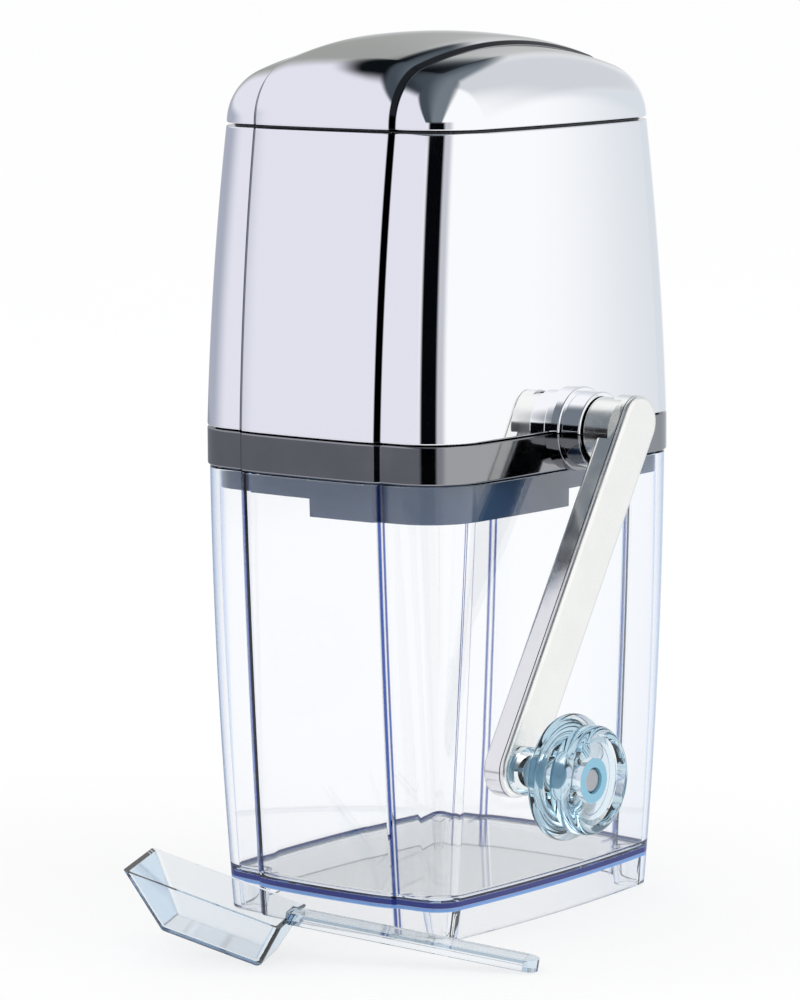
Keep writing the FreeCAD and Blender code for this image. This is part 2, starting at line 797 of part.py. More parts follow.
def make_crank_arm_cover():
    """The front cover: rounded all round, with a lip that clips inside the channel."""
    front = cover_x() + cover_depth
    plate = arm_bar(arm_half_width, cover_x(), front)
    plate = plate.makeFillet(cover_round, edges_at_x(plate, front))
    lip_half = arm_half_width - arm_wall - seat_clearance
    lip = arm_bar(lip_half, cover_x() - cover_lip, cover_x())
    lip = lip.cut(arm_bar(lip_half - cover_lip, cover_x() - cover_lip, cover_x()))
    knob_y, knob_z = knob_centre()
    pin_hole = rod_x(pin_radius + seat_clearance, cover_x() - cover_lip, front, knob_y, knob_z)
    return fuse([plate, lip]).cut(pin_hole)


def make_crank_screw():
    seat = arm_floor_x()
    head = rod_x(screw_head_radius, seat, seat + screw_head_height)
    shank = rod_x(screw_shank_radius, seat - screw_length, seat)
    slot = block(seat + screw_head_height / 2, seat + screw_head_height,
                 -screw_head_radius, screw_head_radius,
                 crank_z - screw_slot_half_width, crank_z + screw_slot_half_width)
    return fuse([head, shank]).cut(slot)


# ================================================================== knob
def knob_ring(profile):
    """A solid turned about the knob's pin. The profile's points are (x from the knob's back, radius)."""
    knob_y, knob_z = knob_centre()
    lines = [[Vector(knob_x() + x, knob_y, knob_z + radius) for x, radius in line] for line in profile]
    return Part.Face(wire_of(lines)).revolve(Vector(0, knob_y, knob_z), X_AXIS, 360)


def rod_at_knob(radius, x_low, x_high):
    knob_y, knob_z = knob_centre()
    return rod_x(radius, x_low, x_high, knob_y, knob_z)


def make_knob_pin():
    """Shouldered pin, riveted over inside the channel and at the knob's face."""
    outer = knob_x() + knob_length - knob_recess_depth - pin_end_setback
    shank = rod_at_knob(pin_radius, arm_back_x() + arm_back_round, outer)
    rivet = rod_at_knob(pin_rivet_radius, arm_floor_x(), arm_floor_x() + pin_rivet_height)
    head = rod_at_knob(pin_head_radius, outer - pin_head_height, outer)
    rims = [edge for edge in head.Edges if edge.BoundBox.XMin > outer - running_clearance]
    head = head.makeFillet(pin_head_height / 2, rims)
    return fuse([shank, rivet, head])


def hub_floor():
    """Where the hub's cup begins, from the knob's back. The pin's head turns clear in it."""
    return knob_length - knob_recess_depth - pin_end_setback - pin_head_height - bush_end_gap


def make_knob_hub():
    """Blue sleeve that runs on the pin, with a cup at the front round the pin's head."""
    front = knob_length - knob_recess_depth
    back = hub_floor() - knob_hub_wall
    sleeve_radius = knob_bore_radius - seat_clearance
    bore = pin_radius + running_clearance
    cup = pin_head_radius + bush_end_gap
    corners = [(0, bore), (0, sleeve_radius), (back, sleeve_radius), (back, knob_hub_radius),
               (front, knob_hub_radius), (front, cup), (hub_floor(), cup), (hub_floor(), bore), (0, bore)]
    return knob_ring([[start, end] for start, end in zip(corners, corners[1:])])


def make_knob():
    """Clear trumpet shaped grip with a groove behind its front ring."""
    front = knob_length
    face = knob_length - knob_recess_depth
    seat = knob_hub_radius + seat_clearance
    seat_back = hub_floor() - knob_hub_wall - seat_clearance
    flare_middle = ((knob_neck_end + knob_flange_start) / 2 + knob_flare_hollow / 2,
                    (knob_neck_radius + knob_radius) / 2 - knob_flare_hollow)
    rim_width = knob_edge_round * 2
    corner_share = 1 - math.cos(math.pi / 4)      # where the middle of a quarter round lies
    profile = [
        [(0, knob_bore_radius), (0, knob_collar_radius)],
        [(0, knob_collar_radius), (knob_collar_length, knob_collar_radius)],
        [(knob_collar_length, knob_collar_radius), (knob_neck_end, knob_neck_radius)],
        [(knob_neck_end, knob_neck_radius), flare_middle, (knob_flange_start, knob_radius)],
        [(knob_flange_start, knob_radius),
         (knob_flange_start + knob_edge_round, knob_radius + knob_edge_round / 4),
         (knob_flange_start + rim_width, knob_radius)],
        [(knob_flange_start + rim_width, knob_radius), (knob_groove_at, knob_groove_radius)],
        [(knob_groove_at, knob_groove_radius), (knob_front_start, knob_front_radius)],
        [(knob_front_start, knob_front_radius), (front - knob_front_round, knob_front_radius)],
        [(front - knob_front_round, knob_front_radius),
         (front - knob_front_round * corner_share, knob_front_radius - knob_front_round * corner_share),
         (front, knob_front_radius - knob_front_round)],
        [(front, knob_front_radius - knob_front_round), (front, knob_recess_radius)],
        [(front, knob_recess_radius), (face, knob_recess_radius - knob_recess_depth)],
        [(face, knob_recess_radius - knob_recess_depth), (face, seat)],
        [(face, seat), (seat_back, seat)],
        [(seat_back, seat), (seat_back, knob_bore_radius)],
        [(seat_back, knob_bore_radius), (0, knob_bore_radius)],
    ]
    return knob_ring(profile)


# ================================================================== housing screws
def make_housing_screws():
    """Four screws up through the deck into the housing's posts."""
    screws = []
    for x, y in screw_places():
        seat = Vector(x, y, container_height)
        head = Part.makeCylinder(frame_screw_head, frame_screw_head_height, seat, Z_AXIS * -1)
        shank = Part.makeCylinder(frame_screw_shank, frame_screw_length, seat)
        screws.append(fuse([head, shank]))
    return Part.makeCompound(screws)


# ================================================================== scoop
def scoop_frustum(inset, w_low):
    """The bowl's form: its bottom and its rim are rectangles, the front end slopes out to scoop."""
    def rectangle(share, w):
        front = -scoop_bottom_length - scoop_front_overhang * share + inset
        back = scoop_back_overhang * share - inset
        side = between(scoop_bottom_half_width, scoop_rim_half_width, share) - inset
        corners = [(front, -side), (back, -side), (back, side), (front, side), (front, -side)]
        return Part.makePolygon([Vector(u, v, w) for u, v in corners])
    solid = Part.makeLoft([rectangle(w_low / scoop_depth, w_low), rectangle(1, scoop_depth)], True, True)
    sharp = [edge for edge in solid.Edges if edge.BoundBox.ZMin < scoop_depth - scoop_wall]
    return solid.makeFillet(scoop_edge_round - inset / 2, sharp)


def scoop_handle():
    """A channel section bar, open below, with a round end."""
    start = scoop_back_overhang - scoop_wall
    half_height = scoop_handle_thickness / 2
    bar = block(start, start + scoop_handle_length, -scoop_handle_half_width, scoop_handle_half_width,
                scoop_depth - half_height, scoop_depth + half_height)
    far = [edge for edge in bar.Edges
           if edge.BoundBox.XMin > start + scoop_handle_length / 2 and edge.BoundBox.ZLength > half_height]
    bar = bar.makeFillet(scoop_handle_half_width - seat_clearance, far)
    inner_half = scoop_handle_half_width - scoop_handle_wall
    hollow = block(start + scoop_handle_half_width, start + scoop_handle_length - scoop_handle_half_width,
                   -inner_half, inner_half, scoop_depth - half_height,
                   scoop_depth + half_height - scoop_handle_wall)
    bar = bar.cut(hollow)
    bar.rotate(Vector(start, 0, scoop_depth), Y_AXIS, -scoop_handle_lift)
    return bar


def make_scoop():
    """The scoop, tipped back so that it rests on its heel and the end of its handle."""
    bowl = scoop_frustum(0, 0)
    handle = scoop_handle()
    inside = scoop_frustum(scoop_wall, scoop_wall)
    scoop = fuse([bowl, handle.cut(inside)]).cut(inside)
    scoop.rotate(Vector(0, 0, 0), Y_AXIS, scoop_tilt)
    scoop.rotate(Vector(0, 0, 0), Z_AXIS, scoop_turn)
    scoop.translate(Vector(scoop_heel_x, scoop_heel_y, -scoop.optimalBoundingBox().ZMin))
    return scoop


# ================================================================== all the nodes
def main():
    nodes = {
        "container": make_container(),
        "base_frame": make_base_frame(),
        "upper_housing": make_upper_housing(),
        "hopper_liner": make_hopper_liner(),
        "lid": make_lid(),
        "front_comb": make_comb(-1),
        "back_comb": make_comb(1),
        "rotor_shaft": make_rotor_shaft(),
        "rotor_spacers": make_rotor_spacers(),
        "retaining_clip": make_retaining_clip(),
        "left_bush": make_left_bush(),
        "right_bush": make_right_bush(),
        "crank_arm": make_crank_arm(),
        "crank_arm_cover": make_crank_arm_cover(),
        "crank_screw": make_crank_screw(),
        "knob_pin": make_knob_pin(),
        "knob_hub": make_knob_hub(),
        "knob": make_knob(),
        "housing_screws": make_housing_screws(),
        "scoop": make_scoop(),
    }
    for number in range(blade_count):
        nodes["rotor_blade_%d" % (number + 1)] = make_rotor_blade(number)
    os.makedirs("parts", exist_ok=True)
    for name, shape in nodes.items():
        export(name, shape)


main()
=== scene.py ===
"""Looks of a hand crank ice crusher: finishes, studio and camera round the fixed CAD model.

The file is laid out as an add-on and run as a script. Everything is in metres, in the model's own
frame: +Z up, the crank on the +X side, the front facing -Y.
"""

import math
from collections import namedtuple

import bpy
from bpy.props import FloatProperty, FloatVectorProperty, PointerProperty
from mathutils import Matrix, Vector
from mathutils.bvhtree import BVHTree


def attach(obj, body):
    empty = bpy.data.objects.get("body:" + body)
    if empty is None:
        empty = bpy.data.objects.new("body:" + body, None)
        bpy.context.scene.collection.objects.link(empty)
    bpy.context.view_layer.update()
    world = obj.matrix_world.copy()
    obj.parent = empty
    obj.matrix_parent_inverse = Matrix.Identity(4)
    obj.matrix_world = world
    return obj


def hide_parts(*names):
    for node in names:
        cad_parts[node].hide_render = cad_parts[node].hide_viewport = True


bl_info = {
    "name": "Ice Crusher Looks",
    "version": (1, 0, 0),
    "blender": (4, 5, 0),
    "location": "View3D > Sidebar > Ice Crusher",
    "description": "Finishes, studio and camera for a hand crank ice crusher",
    "category": "Object",
}

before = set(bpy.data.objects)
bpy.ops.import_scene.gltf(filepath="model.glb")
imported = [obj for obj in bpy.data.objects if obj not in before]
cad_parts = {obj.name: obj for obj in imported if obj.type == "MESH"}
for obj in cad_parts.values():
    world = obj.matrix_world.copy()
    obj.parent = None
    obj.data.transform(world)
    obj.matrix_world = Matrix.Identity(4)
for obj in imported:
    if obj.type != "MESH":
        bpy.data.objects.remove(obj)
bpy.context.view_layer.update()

MM = 0.001


# ------------------------------ colours and nodes
def linear(hex_colour):
    """(r, g, b) in linear light of an sRGB hex colour."""
    parts = [int(hex_colour[i:i + 2], 16) / 255 for i in (1, 3, 5)]
    return tuple(part / 12.92 if part <= 0.04045 else ((part + 0.055) / 1.055) ** 2.4 for part in parts)


def add(tree, kind, inputs=None, **options):
    """Adds a node with its options. An input that is a node or socket is linked, any other is a value."""
    node = tree.nodes.new("ShaderNode" + kind)
    for name, value in options.items():
        setattr(node, name, value)
    for name, value in (inputs or {}).items():
        socket = node.inputs[name]
        if isinstance(value, bpy.types.Node):
            value = next(output for output in value.outputs if output.enabled)
        if isinstance(value, bpy.types.NodeSocket):
            tree.links.new(value, socket)
        elif socket.type == "RGBA":
            socket.default_value = (*value, 1.0)
        else:
            socket.default_value = value
    return node


def blank_material(name):
    """A new material and its empty node tree."""
    material = bpy.data.materials.new(name)
    material.use_nodes = True
    material.node_tree.nodes.clear()
    return material, material.node_tree


def finish_node(name, material):
    """Gives a CAD node its finish."""
    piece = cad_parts[name]
    if not piece.material_slots:
        piece.data.materials.append(None)
    for slot in piece.material_slots:
        slot.link = "OBJECT"
        slot.material = material


def placed(name, data):
    """A new object that holds this mesh, lamp or camera, in the scene."""
    made = bpy.data.objects.new(name, data)
    bpy.context.collection.objects.link(made)
    return made


def settings():
    return bpy.context.scene.ice_crusher


# ------------------------------ sizes and colours a user would change
def length(name, description, millimetres):
    return FloatProperty(name=name, description=description, default=millimetres * MM,
                         subtype="DISTANCE", unit="LENGTH", precision=5)


def colour(name, piece, hex_colour):
    return FloatVectorProperty(name=name, description="Colour of the " + piece, default=linear(hex_colour),
                               subtype="COLOR", min=0.0, max=1.0)


class IceCrusherFinish(bpy.types.PropertyGroup):
    """Colours and surface scales of the pieces."""

    plating: colour("Chrome plating", "plated housing and lid", "#f9fafd")
    # Painted shade and dark reflection on the plating of the slopes beside the raised panels.
    painted_slope_shade: colour("Panel groove", "painted shade on the slopes beside the raised panels", "#1e2126")
    # Painted shade on the crank arm's back, which faces the body.
    arm_back_painted_shade: colour("Arm back", "crank arm's back, painted shade where it faces the body", "#1c1e22")
    arm: colour("Arm plating", "plated crank arm", "#fbfbf8")
    frame_shell: colour("Base frame", "dark plated base frame", "#9a9b9f")
    # The lid's inside is grey ABS, darkened as painted shade so that the seam shows dark.
    inside: colour("Lid inside", "unplated inside of the lid", "#3a3c42")
    collar: colour("Collar", "unplated collar below the band", "#4b6688")
    clear_tint: colour("Clear tint", "container's plastic where it is thick", "#40b4f8")
    clear_edge_on: colour("Clear edge on", "container's plastic seen edge on", "#76a4e4")
    # Painted light: deeper blue lines along the container's panel and round its floor.
    clear_painted_lines: colour("Clear lines", "painted lines of light along the container's panel and floor", "#14287c")
    scoop_tint: colour("Scoop tint", "scoop's plastic where it is thick", "#3cb2de")
    scoop_edge_on: colour("Scoop edge on", "scoop's plastic seen edge on", "#6fb4e2")
    knob_edge_on: colour("Knob edge on", "knob's plastic seen edge on", "#8fd2e2")
    knob_tint: colour("Knob tint", "knob's plastic where it is thick", "#48bede")
    hub: colour("Knob hub", "sleeve inside the knob", "#86bcd4")
    liner: colour("Hopper liner", "moulded liner", "#e9eaec")
    bush: colour("Bushes", "bearing plastic", "#d8d5cb")
    steel: colour("Stainless steel", "rotor and combs", "#c3c5c6")
    zinc: colour("Zinc plating", "screws", "#b9bcc0")
    mould_wave: length("Mould waviness", "Distance between the faint waves of a moulded surface", 18.0)
    brush_line: length("Brush line", "Spacing of the grinding lines on the steel", 0.35)
    liner_grain: length("Liner grain", "Spacing of the fine grain of the liner's mould", 0.6)


class IceCrusherStudio(bpy.types.PropertyGroup):
    """Floor, light and camera."""

    floor: colour("Floor", "floor", "#fbfbfc")
    tent: colour("Tent", "white tent that the plating shows", "#ffffff")
    floor_glow: FloatProperty(name="Floor glow", default=0.7, min=0.0, max=1.0, subtype="FACTOR",
                              description="Share of the floor that is plain background, without shadow")
    soft_box_power: FloatProperty(name="Soft box power", description="Power of the soft box in watts",
                                  default=7.0, min=0.0, unit="POWER")
    floor_radius: length("Floor radius", "Radius of the floor", 40000.0)


class IceCrusherShell(bpy.types.PropertyGroup):
    """Small roundings of the shells, which the solids have as sharp edges."""

    plated_edge: length("Plated edge", "Rounding of the plated shells' edges", 0.5)
    clear_edge: length("Clear edge", "Rounding of the clear container's edges", 0.5)
    floor_hollow: length("Floor hollow", "Hollow rounding inside the container along its floor", 2.0)


class IceCrusherSettings(bpy.types.PropertyGroup):
    """All settings of the ice crusher's looks."""

    shell: PointerProperty(type=IceCrusherShell)
    finish: PointerProperty(type=IceCrusherFinish)
    studio: PointerProperty(type=IceCrusherStudio)


# ------------------------------ finishes
WHITE = linear("#ffffff")
CLEAR_SHADOW = linear("#f7fafd")
# Bounds, in millimetres from the body's middle or foot, of where a finish changes or shade and light are
# painted.
PANELS_FROM = 45.0
DARK_SLOPE = (24.0, 25.7)
BLUE_SLOPE = (24.5, 25.4)
FLOOR_LINE = 9.9
# How far a face has turned, from 0 to 1: towards the body, away from upright, and edge on to the eye.
FACING_BACK = 0.8
FACING_UP = 0.7
EDGE_ON = 0.64
# How much of the clearness the painted line of light round the container's floor takes away.
LINE_COVER = 0.9


def soft_step(tree, value, edge, soft):
    """0 below the edge and 1 above it, over a soft width. A negative width turns it round."""
    half = abs(soft) / 2
    low, high = (0.0, 1.0) if soft > 0 else (1.0, 0.0)
    return add(tree, "MapRange", {"Value": value, "From Min": edge - half, "From Max": edge + half,
                                  "To Min": low, "To Max": high}, interpolation_type="SMOOTHSTEP")


def where_all(tree, masks):
    """The masks multiplied: 1 where every mask is 1, and 0 where one of them is 0."""
    cover = masks[0]
    for mask in masks[1:]:
        cover = add(tree, "Math", {0: cover, 1: mask}, operation="MULTIPLY")
    return cover


def laid_over(tree, name, below, above, *masks):
    """The colour below, with the one above laid over it where every mask is 1."""
    cover = where_all(tree, masks)
    return add(tree, "Mix", {"Factor": cover, 6: below, 7: above}, data_type="RGBA", label=name)


def own_place(tree):
    """The place of each spot in the piece's own frame, which is what every pattern goes by."""
    return add(tree, "TexCoord").outputs["Object"]


def panel_slopes(tree, bounds=DARK_SLOPE):
    """1 along the slopes at both sides of the raised panels, between two bounds, and 0 elsewhere."""
    start, end = bounds
    axes = add(tree, "SeparateXYZ", {"Vector": own_place(tree)}).outputs
    aside = add(tree, "Math", {0: axes["X"]}, operation="ABSOLUTE")
    ahead = add(tree, "Math", {0: axes["Y"]}, operation="ABSOLUTE")
    at_ends = soft_step(tree, ahead, PANELS_FROM * MM, 2 * MM)
    on_lid = soft_step(tree, axes["Z"], SEAM * MM, 0.2 * MM)
    on_panels = add(tree, "Math", {0: at_ends, 1: on_lid}, operation="MAXIMUM")
    return where_all(tree, (on_panels, soft_step(tree, aside, start * MM, 0.5 * MM),
                            soft_step(tree, aside, end * MM, -0.4 * MM)))


def painted_shade_on_back(tree):
    """1 on the crank arm's back, which faces the body and gets painted shade, and 0 elsewhere."""
    facing = add(tree, "SeparateXYZ", {"Vector": add(tree, "TexCoord").outputs["Normal"]}).outputs["X"]
    return soft_step(tree, facing, -FACING_BACK, -0.2)


def mould_waves(tree, spacing, height):
    """A normal with the very faint waves that a moulded surface keeps under its gloss."""
    noise = add(tree, "TexNoise", {"Vector": own_place(tree), "Scale": 1 / spacing, "Detail": 1.0,
                                   "Roughness": 0.3})
    return add(tree, "Bump", {"Height": noise, "Distance": height, "Strength": 1.0})


def with_shader(material, inputs):
    """The material, with a plain shader that has these inputs."""
    shader = add(material.node_tree, "BsdfPrincipled", inputs)
    add(material.node_tree, "OutputMaterial", {"Surface": shader})
    return material


def uneven_shine(tree, place, spacing, detail, low, high):
    """A fine pattern, and a roughness that follows it from low to high."""
    pattern = add(tree, "TexNoise", {"Vector": place, "Scale": 1 / spacing, "Detail": detail})
    shine = add(tree, "MapRange", {"Value": pattern, "From Min": 0.3, "From Max": 0.7,
                                   "To Min": low, "To Max": high})
    return pattern, shine


def plated_metal(name, tint, roughness, painted_shade_tint=None, painted_shade_places=None, wave_height=0.004 * MM):
    """Bright nickel and chrome electroplated on moulded ABS.

    The plating is a mirror, so it shows the studio almost untinted. The moulding below it leaves long
    faint waves that soften straight reflections, and wiping leaves a trace of haze. The second tint and
    the mask after it paint shade: a darker tint laid over the places that the mask marks, which stands
    for the shade and dark reflection on the slopes beside the panels and on the crank arm's back.
    """
    material, tree = blank_material(name)
    if painted_shade_places:
        # Painted shade: a darker tint laid over the places that the mask marks.
        tint = laid_over(tree, "painted_shade_places", tint, painted_shade_tint, painted_shade_places(tree))
    haze = add(tree, "TexNoise", {"Vector": own_place(tree), "Scale": 1 / (9 * MM), "Detail": 4.0,
                                  "Roughness": 0.6})
    worn = add(tree, "MapRange", {"Value": haze, "From Min": 0.35, "From Max": 0.75,
                                  "To Min": roughness, "To Max": roughness * 2.2})
    normal = mould_waves(tree, settings().finish.mould_wave, wave_height)
    return with_shader(material, {"Base Color": tint, "Metallic": 1.0, "Roughness": worn, "Normal": normal})


def dark_plated_abs():
    """ABS with a dark nickel plating: a grey mirror that turns black where the studio is dark."""
    return plated_metal("dark_nickel_plated_abs", settings().finish.frame_shell, roughness=0.05)


def inner_abs_with_painted_shade():
    """Moulded ABS that was masked while the outside was plated: matt grey, with its dark tone partly
    painted shade, which the seam between lid and housing shows.
    """
    return moulded_plastic("moulded_grey_abs", settings().finish.inside, roughness=0.45)


def slate_abs():
    """Moulded ABS left unplated on the collar: a slate plastic with a low gloss."""
    return moulded_plastic("moulded_slate_abs", settings().finish.collar, roughness=0.12,
                           grain_height=0.001 * MM)


def upright(tree):
    """1 on faces that stand nearly upright, and 0 on level ones."""
    facing = add(tree, "SeparateXYZ", {"Vector": add(tree, "NewGeometry").outputs["Normal"]}).outputs["Z"]
    return soft_step(tree, add(tree, "Math", {0: facing}, operation="ABSOLUTE"), FACING_UP, -0.2)


def between(tree, low, high):
    """Masks that together leave what lies between two heights in millimetres."""
    height = add(tree, "SeparateXYZ", {"Vector": own_place(tree)}).outputs["Z"]
    return soft_step(tree, height, low * MM, 0.3 * MM), soft_step(tree, height, high * MM, -0.3 * MM)


def clear_moulded(name, tint, edge_tint, density, painted_line_tint=None):
    """Clear styrene acrylonitrile, acrylic or polystyrene from a polished mould.

    Thin walls look colourless, and the tint gathers along edges and thick places, where light runs a long
    way inside the plastic: edge_tint is the colour of a wall seen edge on. Light passes on to the floor
    instead of leaving a black shadow. The last option is the colour of painted light: deeper lines along
    the panel's slopes and round the floor, where light that ran along inside the wall comes out. Round
    the floor, a painted glow in the edge-on colour lies below that line, and the plastic is made mostly
    opaque.
    """
    material, tree = blank_material(name)
    normal = mould_waves(tree, settings().finish.mould_wave * 1.5, 0.01 * MM)
    standing = upright(tree)
    edge_on = soft_step(tree, add(tree, "LayerWeight", {"Blend": 0.5}).outputs["Facing"], EDGE_ON, 0.5)
    shade = laid_over(tree, "edge_on", WHITE, edge_tint, standing, edge_on)
    clearness = 1.0
    if painted_line_tint:
        # Painted light: a deeper blue line along each slope beside the panels.
        shade = laid_over(tree, "painted_slope_lines", shade, painted_line_tint, panel_slopes(tree, BLUE_SLOPE))
        # Painted light round the floor: a glow in the edge-on colour, a deeper blue line above it, and the
        # plastic made mostly opaque there.
        for part, low, high, glow in (("floor_glow", FLOOR_UNDERSIDE, FLOOR_LINE, edge_tint),
                                      ("painted_floor_line", FLOOR_LINE, FLOOR_TOP, painted_line_tint)):
            shade = laid_over(tree, part, shade, glow, standing, *between(tree, low, high))
        painted_floor_edge = where_all(tree, (standing, *between(tree, FLOOR_UNDERSIDE, FLOOR_TOP)))
        clearness = add(tree, "Math", {0: painted_floor_edge, 1: -LINE_COVER, 2: 1.0}, operation="MULTIPLY_ADD")
    glass = add(tree, "BsdfPrincipled", {"Base Color": shade, "Transmission Weight": clearness,
                                         "IOR": 1.57, "Roughness": 0.015, "Normal": normal})
    clear = add(tree, "BsdfTransparent", {"Color": CLEAR_SHADOW})
    is_shadow = add(tree, "LightPath").outputs["Is Shadow Ray"]
    surface = add(tree, "MixShader", {0: is_shadow, 1: glass, 2: clear})
    inside = add(tree, "VolumeAbsorption", {"Color": tint, "Density": density})
    add(tree, "OutputMaterial", {"Surface": surface, "Volume": inside})
    return material


def moulded_plastic(name, tint, roughness, grain_height=0.01 * MM):
    """Opaque moulded plastic: a soft sheen broken up by the mould's fine grain."""
    material, tree = blank_material(name)
    grain, shine = uneven_shine(tree, own_place(tree), settings().finish.liner_grain, 2.0,
                                roughness * 0.85, roughness * 1.15)
    bump = add(tree, "Bump", {"Height": grain, "Distance": grain_height, "Strength": 1.0})
    return with_shader(material, {"Base Color": tint, "IOR": 1.53, "Roughness": shine, "Normal": bump})


def ground_steel():
    """Stainless steel strip, stamped and ground: fine parallel lines that stretch the highlights."""
    material, tree = blank_material("ground_stainless_steel")
    spacing = settings().finish.brush_line
    stretched = add(tree, "Mapping", {"Vector": own_place(tree),
                                      "Scale": (1 / spacing, 0.04 / spacing, 1 / spacing)})
    lines, shine = uneven_shine(tree, stretched, 1.0, 3.0, 0.2, 0.36)
    bump = add(tree, "Bump", {"Height": lines, "Distance": 0.01 * MM, "Strength": 0.5})
    return with_shader(material, {"Base Color": settings().finish.steel, "Metallic": 1.0,
                                  "Roughness": shine, "Normal": bump})


def zinc_plated_steel():
    """Turned steel with bright zinc: a duller grey metal with a cloudy, slightly uneven shine."""
    material, tree = blank_material("zinc_plated_steel")
    _, shine = uneven_shine(tree, own_place(tree), 2 * MM, 3.0, 0.28, 0.42)
    return with_shader(material, {"Base Color": settings().finish.zinc, "Metallic": 1.0,
                                  "Roughness": shine})


# ------------------------------ the body's shape, in millimetres
# The CAD solids have the same outlines, walls and heights. The skins round every edge slightly, let the
# panel's face fall away before its slope, and hold the lid's lower edge LID_LIFT higher.
Plan = namedtuple("Plan", "half_width half_depth corner")
Station = namedtuple("Station", "x y nx ny height turn", defaults=(0.0, 0.0))
Spot = namedtuple("Spot", "point normal flat")

FOOT_PLAN = Plan(43.0, 54.2, 7.5)
RIM_PLAN = Plan(48.7, 61.4, 18.0)
BAND_PLAN = Plan(49.4, 61.6, 18.0)
MOUTH_PLAN = Plan(46.9, 54.1, 17.5)
CONTAINER_SWELL = (0.8, 0.8)
HOUSING_SWELL = (0.2, 1.2)
FACE_BOW = 2.9
PANEL_HALF_WIDTH = 25.9
PANEL_RISE = 1.6
PANEL_EDGE_RISE = 1.0
PANEL_FALL = math.radians(10)
PANEL_SLOPE = math.radians(35)
PANEL_COVE = 1.0

CONTAINER_HEIGHT = 131.8
PARTING = 143.2
SEAM = 230.0
LID_TOP = 256.0
SEAM_GAP = 0.4
LID_LIFT = 0.4
CONTAINER_WALL = 2.6
SKIRT_WALL = 2.2
FLOOR_UNDERSIDE = 8.8
FLOOR_TOP = 11.6
HOUSING_WALL = 2.2
FRAME_WALL = 2.4
COLLAR_INSET = 3.1
BAND_OVERHANG = BAND_PLAN.half_width - RIM_PLAN.half_width
LID_EDGE = 16.5
LID_CROWN = 160.0
LID_LEAN = 0.04
BOSS_FOOT_RADIUS, BOSS_FOOT_END = 12.2, 52.0
BOSS_NOSE_RADIUS, BOSS_NOSE_END = 11.1, 58.5
BUSH_BORE = 8.15
BOSS_OPENING = 9.4
BOSS_ROWS_END = PARTING + 13
# How far off its nominal depth or height a CAD face may lie that a skin takes over as its inside.
SLACK = 0.5
LID_SLACK = 0.7
SKIRT_SLACK = 0.3
HEIGHT_SLACK = 0.1
LEVEL_SLACK = 0.01
COLLAR_DEPTH = 1.5

SIDE_SHARES = [0.03 * step for step in range(10)] + [0.34, 0.42, 0.5, 0.58, 0.66, 0.74, 0.82, 0.91]
CORNER_STEPS = 14
END_STEPS = 3
WALL_STEPS = 24
EDGE_STEPS = 4
UP = Vector((0, 0, 1))
X_WAY = Vector((1, 0, 0))


def swollen(low, high, share, width_swell, depth_swell):
    """The plan part of the way from one section to the next, with the side's slow bulge."""
    bulge = 4 * share * (1 - share)
    return Plan(low.half_width + (high.half_width - low.half_width) * share + width_swell * bulge,
                low.half_depth + (high.half_depth - low.half_depth) * share + depth_swell * bulge,
                low.corner + (high.corner - low.corner) * share)


def container_plan(z):
    return swollen(FOOT_PLAN, RIM_PLAN, z / CONTAINER_HEIGHT, *CONTAINER_SWELL)


def band_plan(z):
    """The band stands straight, so its plan is the same at every height."""
    return BAND_PLAN


def housing_plan(z):
    return swollen(BAND_PLAN, MOUTH_PLAN, (z - PARTING) / (SEAM - PARTING), *HOUSING_SWELL)


def lid_plan(z):
    lean = LID_LEAN * (z - SEAM)
    return Plan(MOUTH_PLAN.half_width - lean, MOUTH_PLAN.half_depth - lean, MOUTH_PLAN.corner)


def panel_profile(inset, edge_round):
    """Half of the raised panel's section, from its middle out to its foot: x, height and turn.

    The panel's face falls away slowly before its edge, then steeply, and runs out in a cove.
    """
    foot = PANEL_HALF_WIDTH - inset * math.tan(PANEL_SLOPE / 2)
    cove_end = foot - PANEL_COVE * math.sin(PANEL_SLOPE)
    cove_height = PANEL_COVE * (1 - math.cos(PANEL_SLOPE))
    edge = cove_end - (PANEL_EDGE_RISE - cove_height) / math.tan(PANEL_SLOPE)
    tangent = edge_round * math.tan((PANEL_SLOPE - PANEL_FALL) / 2)
    fall_end = edge - tangent * math.cos(PANEL_FALL)
    fall = PANEL_RISE - PANEL_EDGE_RISE - tangent * math.sin(PANEL_FALL)
    run = 2 * fall / math.tan(PANEL_FALL)
    spots = [((fall_end - run) * step / 3, PANEL_RISE, 0.0) for step in range(3)]
    for share in spaced(0, 1, 5):
        spots.append((fall_end - run * (1 - share), PANEL_RISE - fall * share ** 2,
                      math.atan(2 * fall * share / run)))
    for turn in spaced(PANEL_FALL, PANEL_SLOPE, EDGE_STEPS)[1:]:
        spots.append((fall_end + edge_round * (math.sin(turn) - math.sin(PANEL_FALL)),
                      PANEL_RISE - fall - edge_round * (math.cos(PANEL_FALL) - math.cos(turn)), turn))
    for turn in spaced(PANEL_SLOPE, 0, 5):
        spots.append((foot - PANEL_COVE * math.sin(turn), PANEL_COVE * (1 - math.cos(turn)), turn))
    return spots


def face_arcs(plan):
    """Radii and centres of the shallow side and end arcs, and the centre of the corner between them."""
    side_radius, end_radius = (((half_length - FACE_BOW) ** 2 + FACE_BOW ** 2) / (2 * FACE_BOW)
                               for half_length in (plan.half_depth, plan.half_width))
    side_x = plan.half_width - side_radius
    end_y = plan.half_depth - end_radius
    near, far = side_radius - plan.corner, end_radius - plan.corner
    distance = math.hypot(side_x, end_y)
    reach = (near ** 2 - far ** 2 + distance ** 2) / (2 * distance)
    offset = math.sqrt(near ** 2 - reach ** 2)
    along = Vector((-side_x, end_y)) / distance
    across = Vector((-along.y, along.x))
    if across.x + across.y < 0:
        across.negate()
    corner = Vector((side_x, 0)) + along * reach + across * offset
    return side_radius, end_radius, side_x, end_y, corner


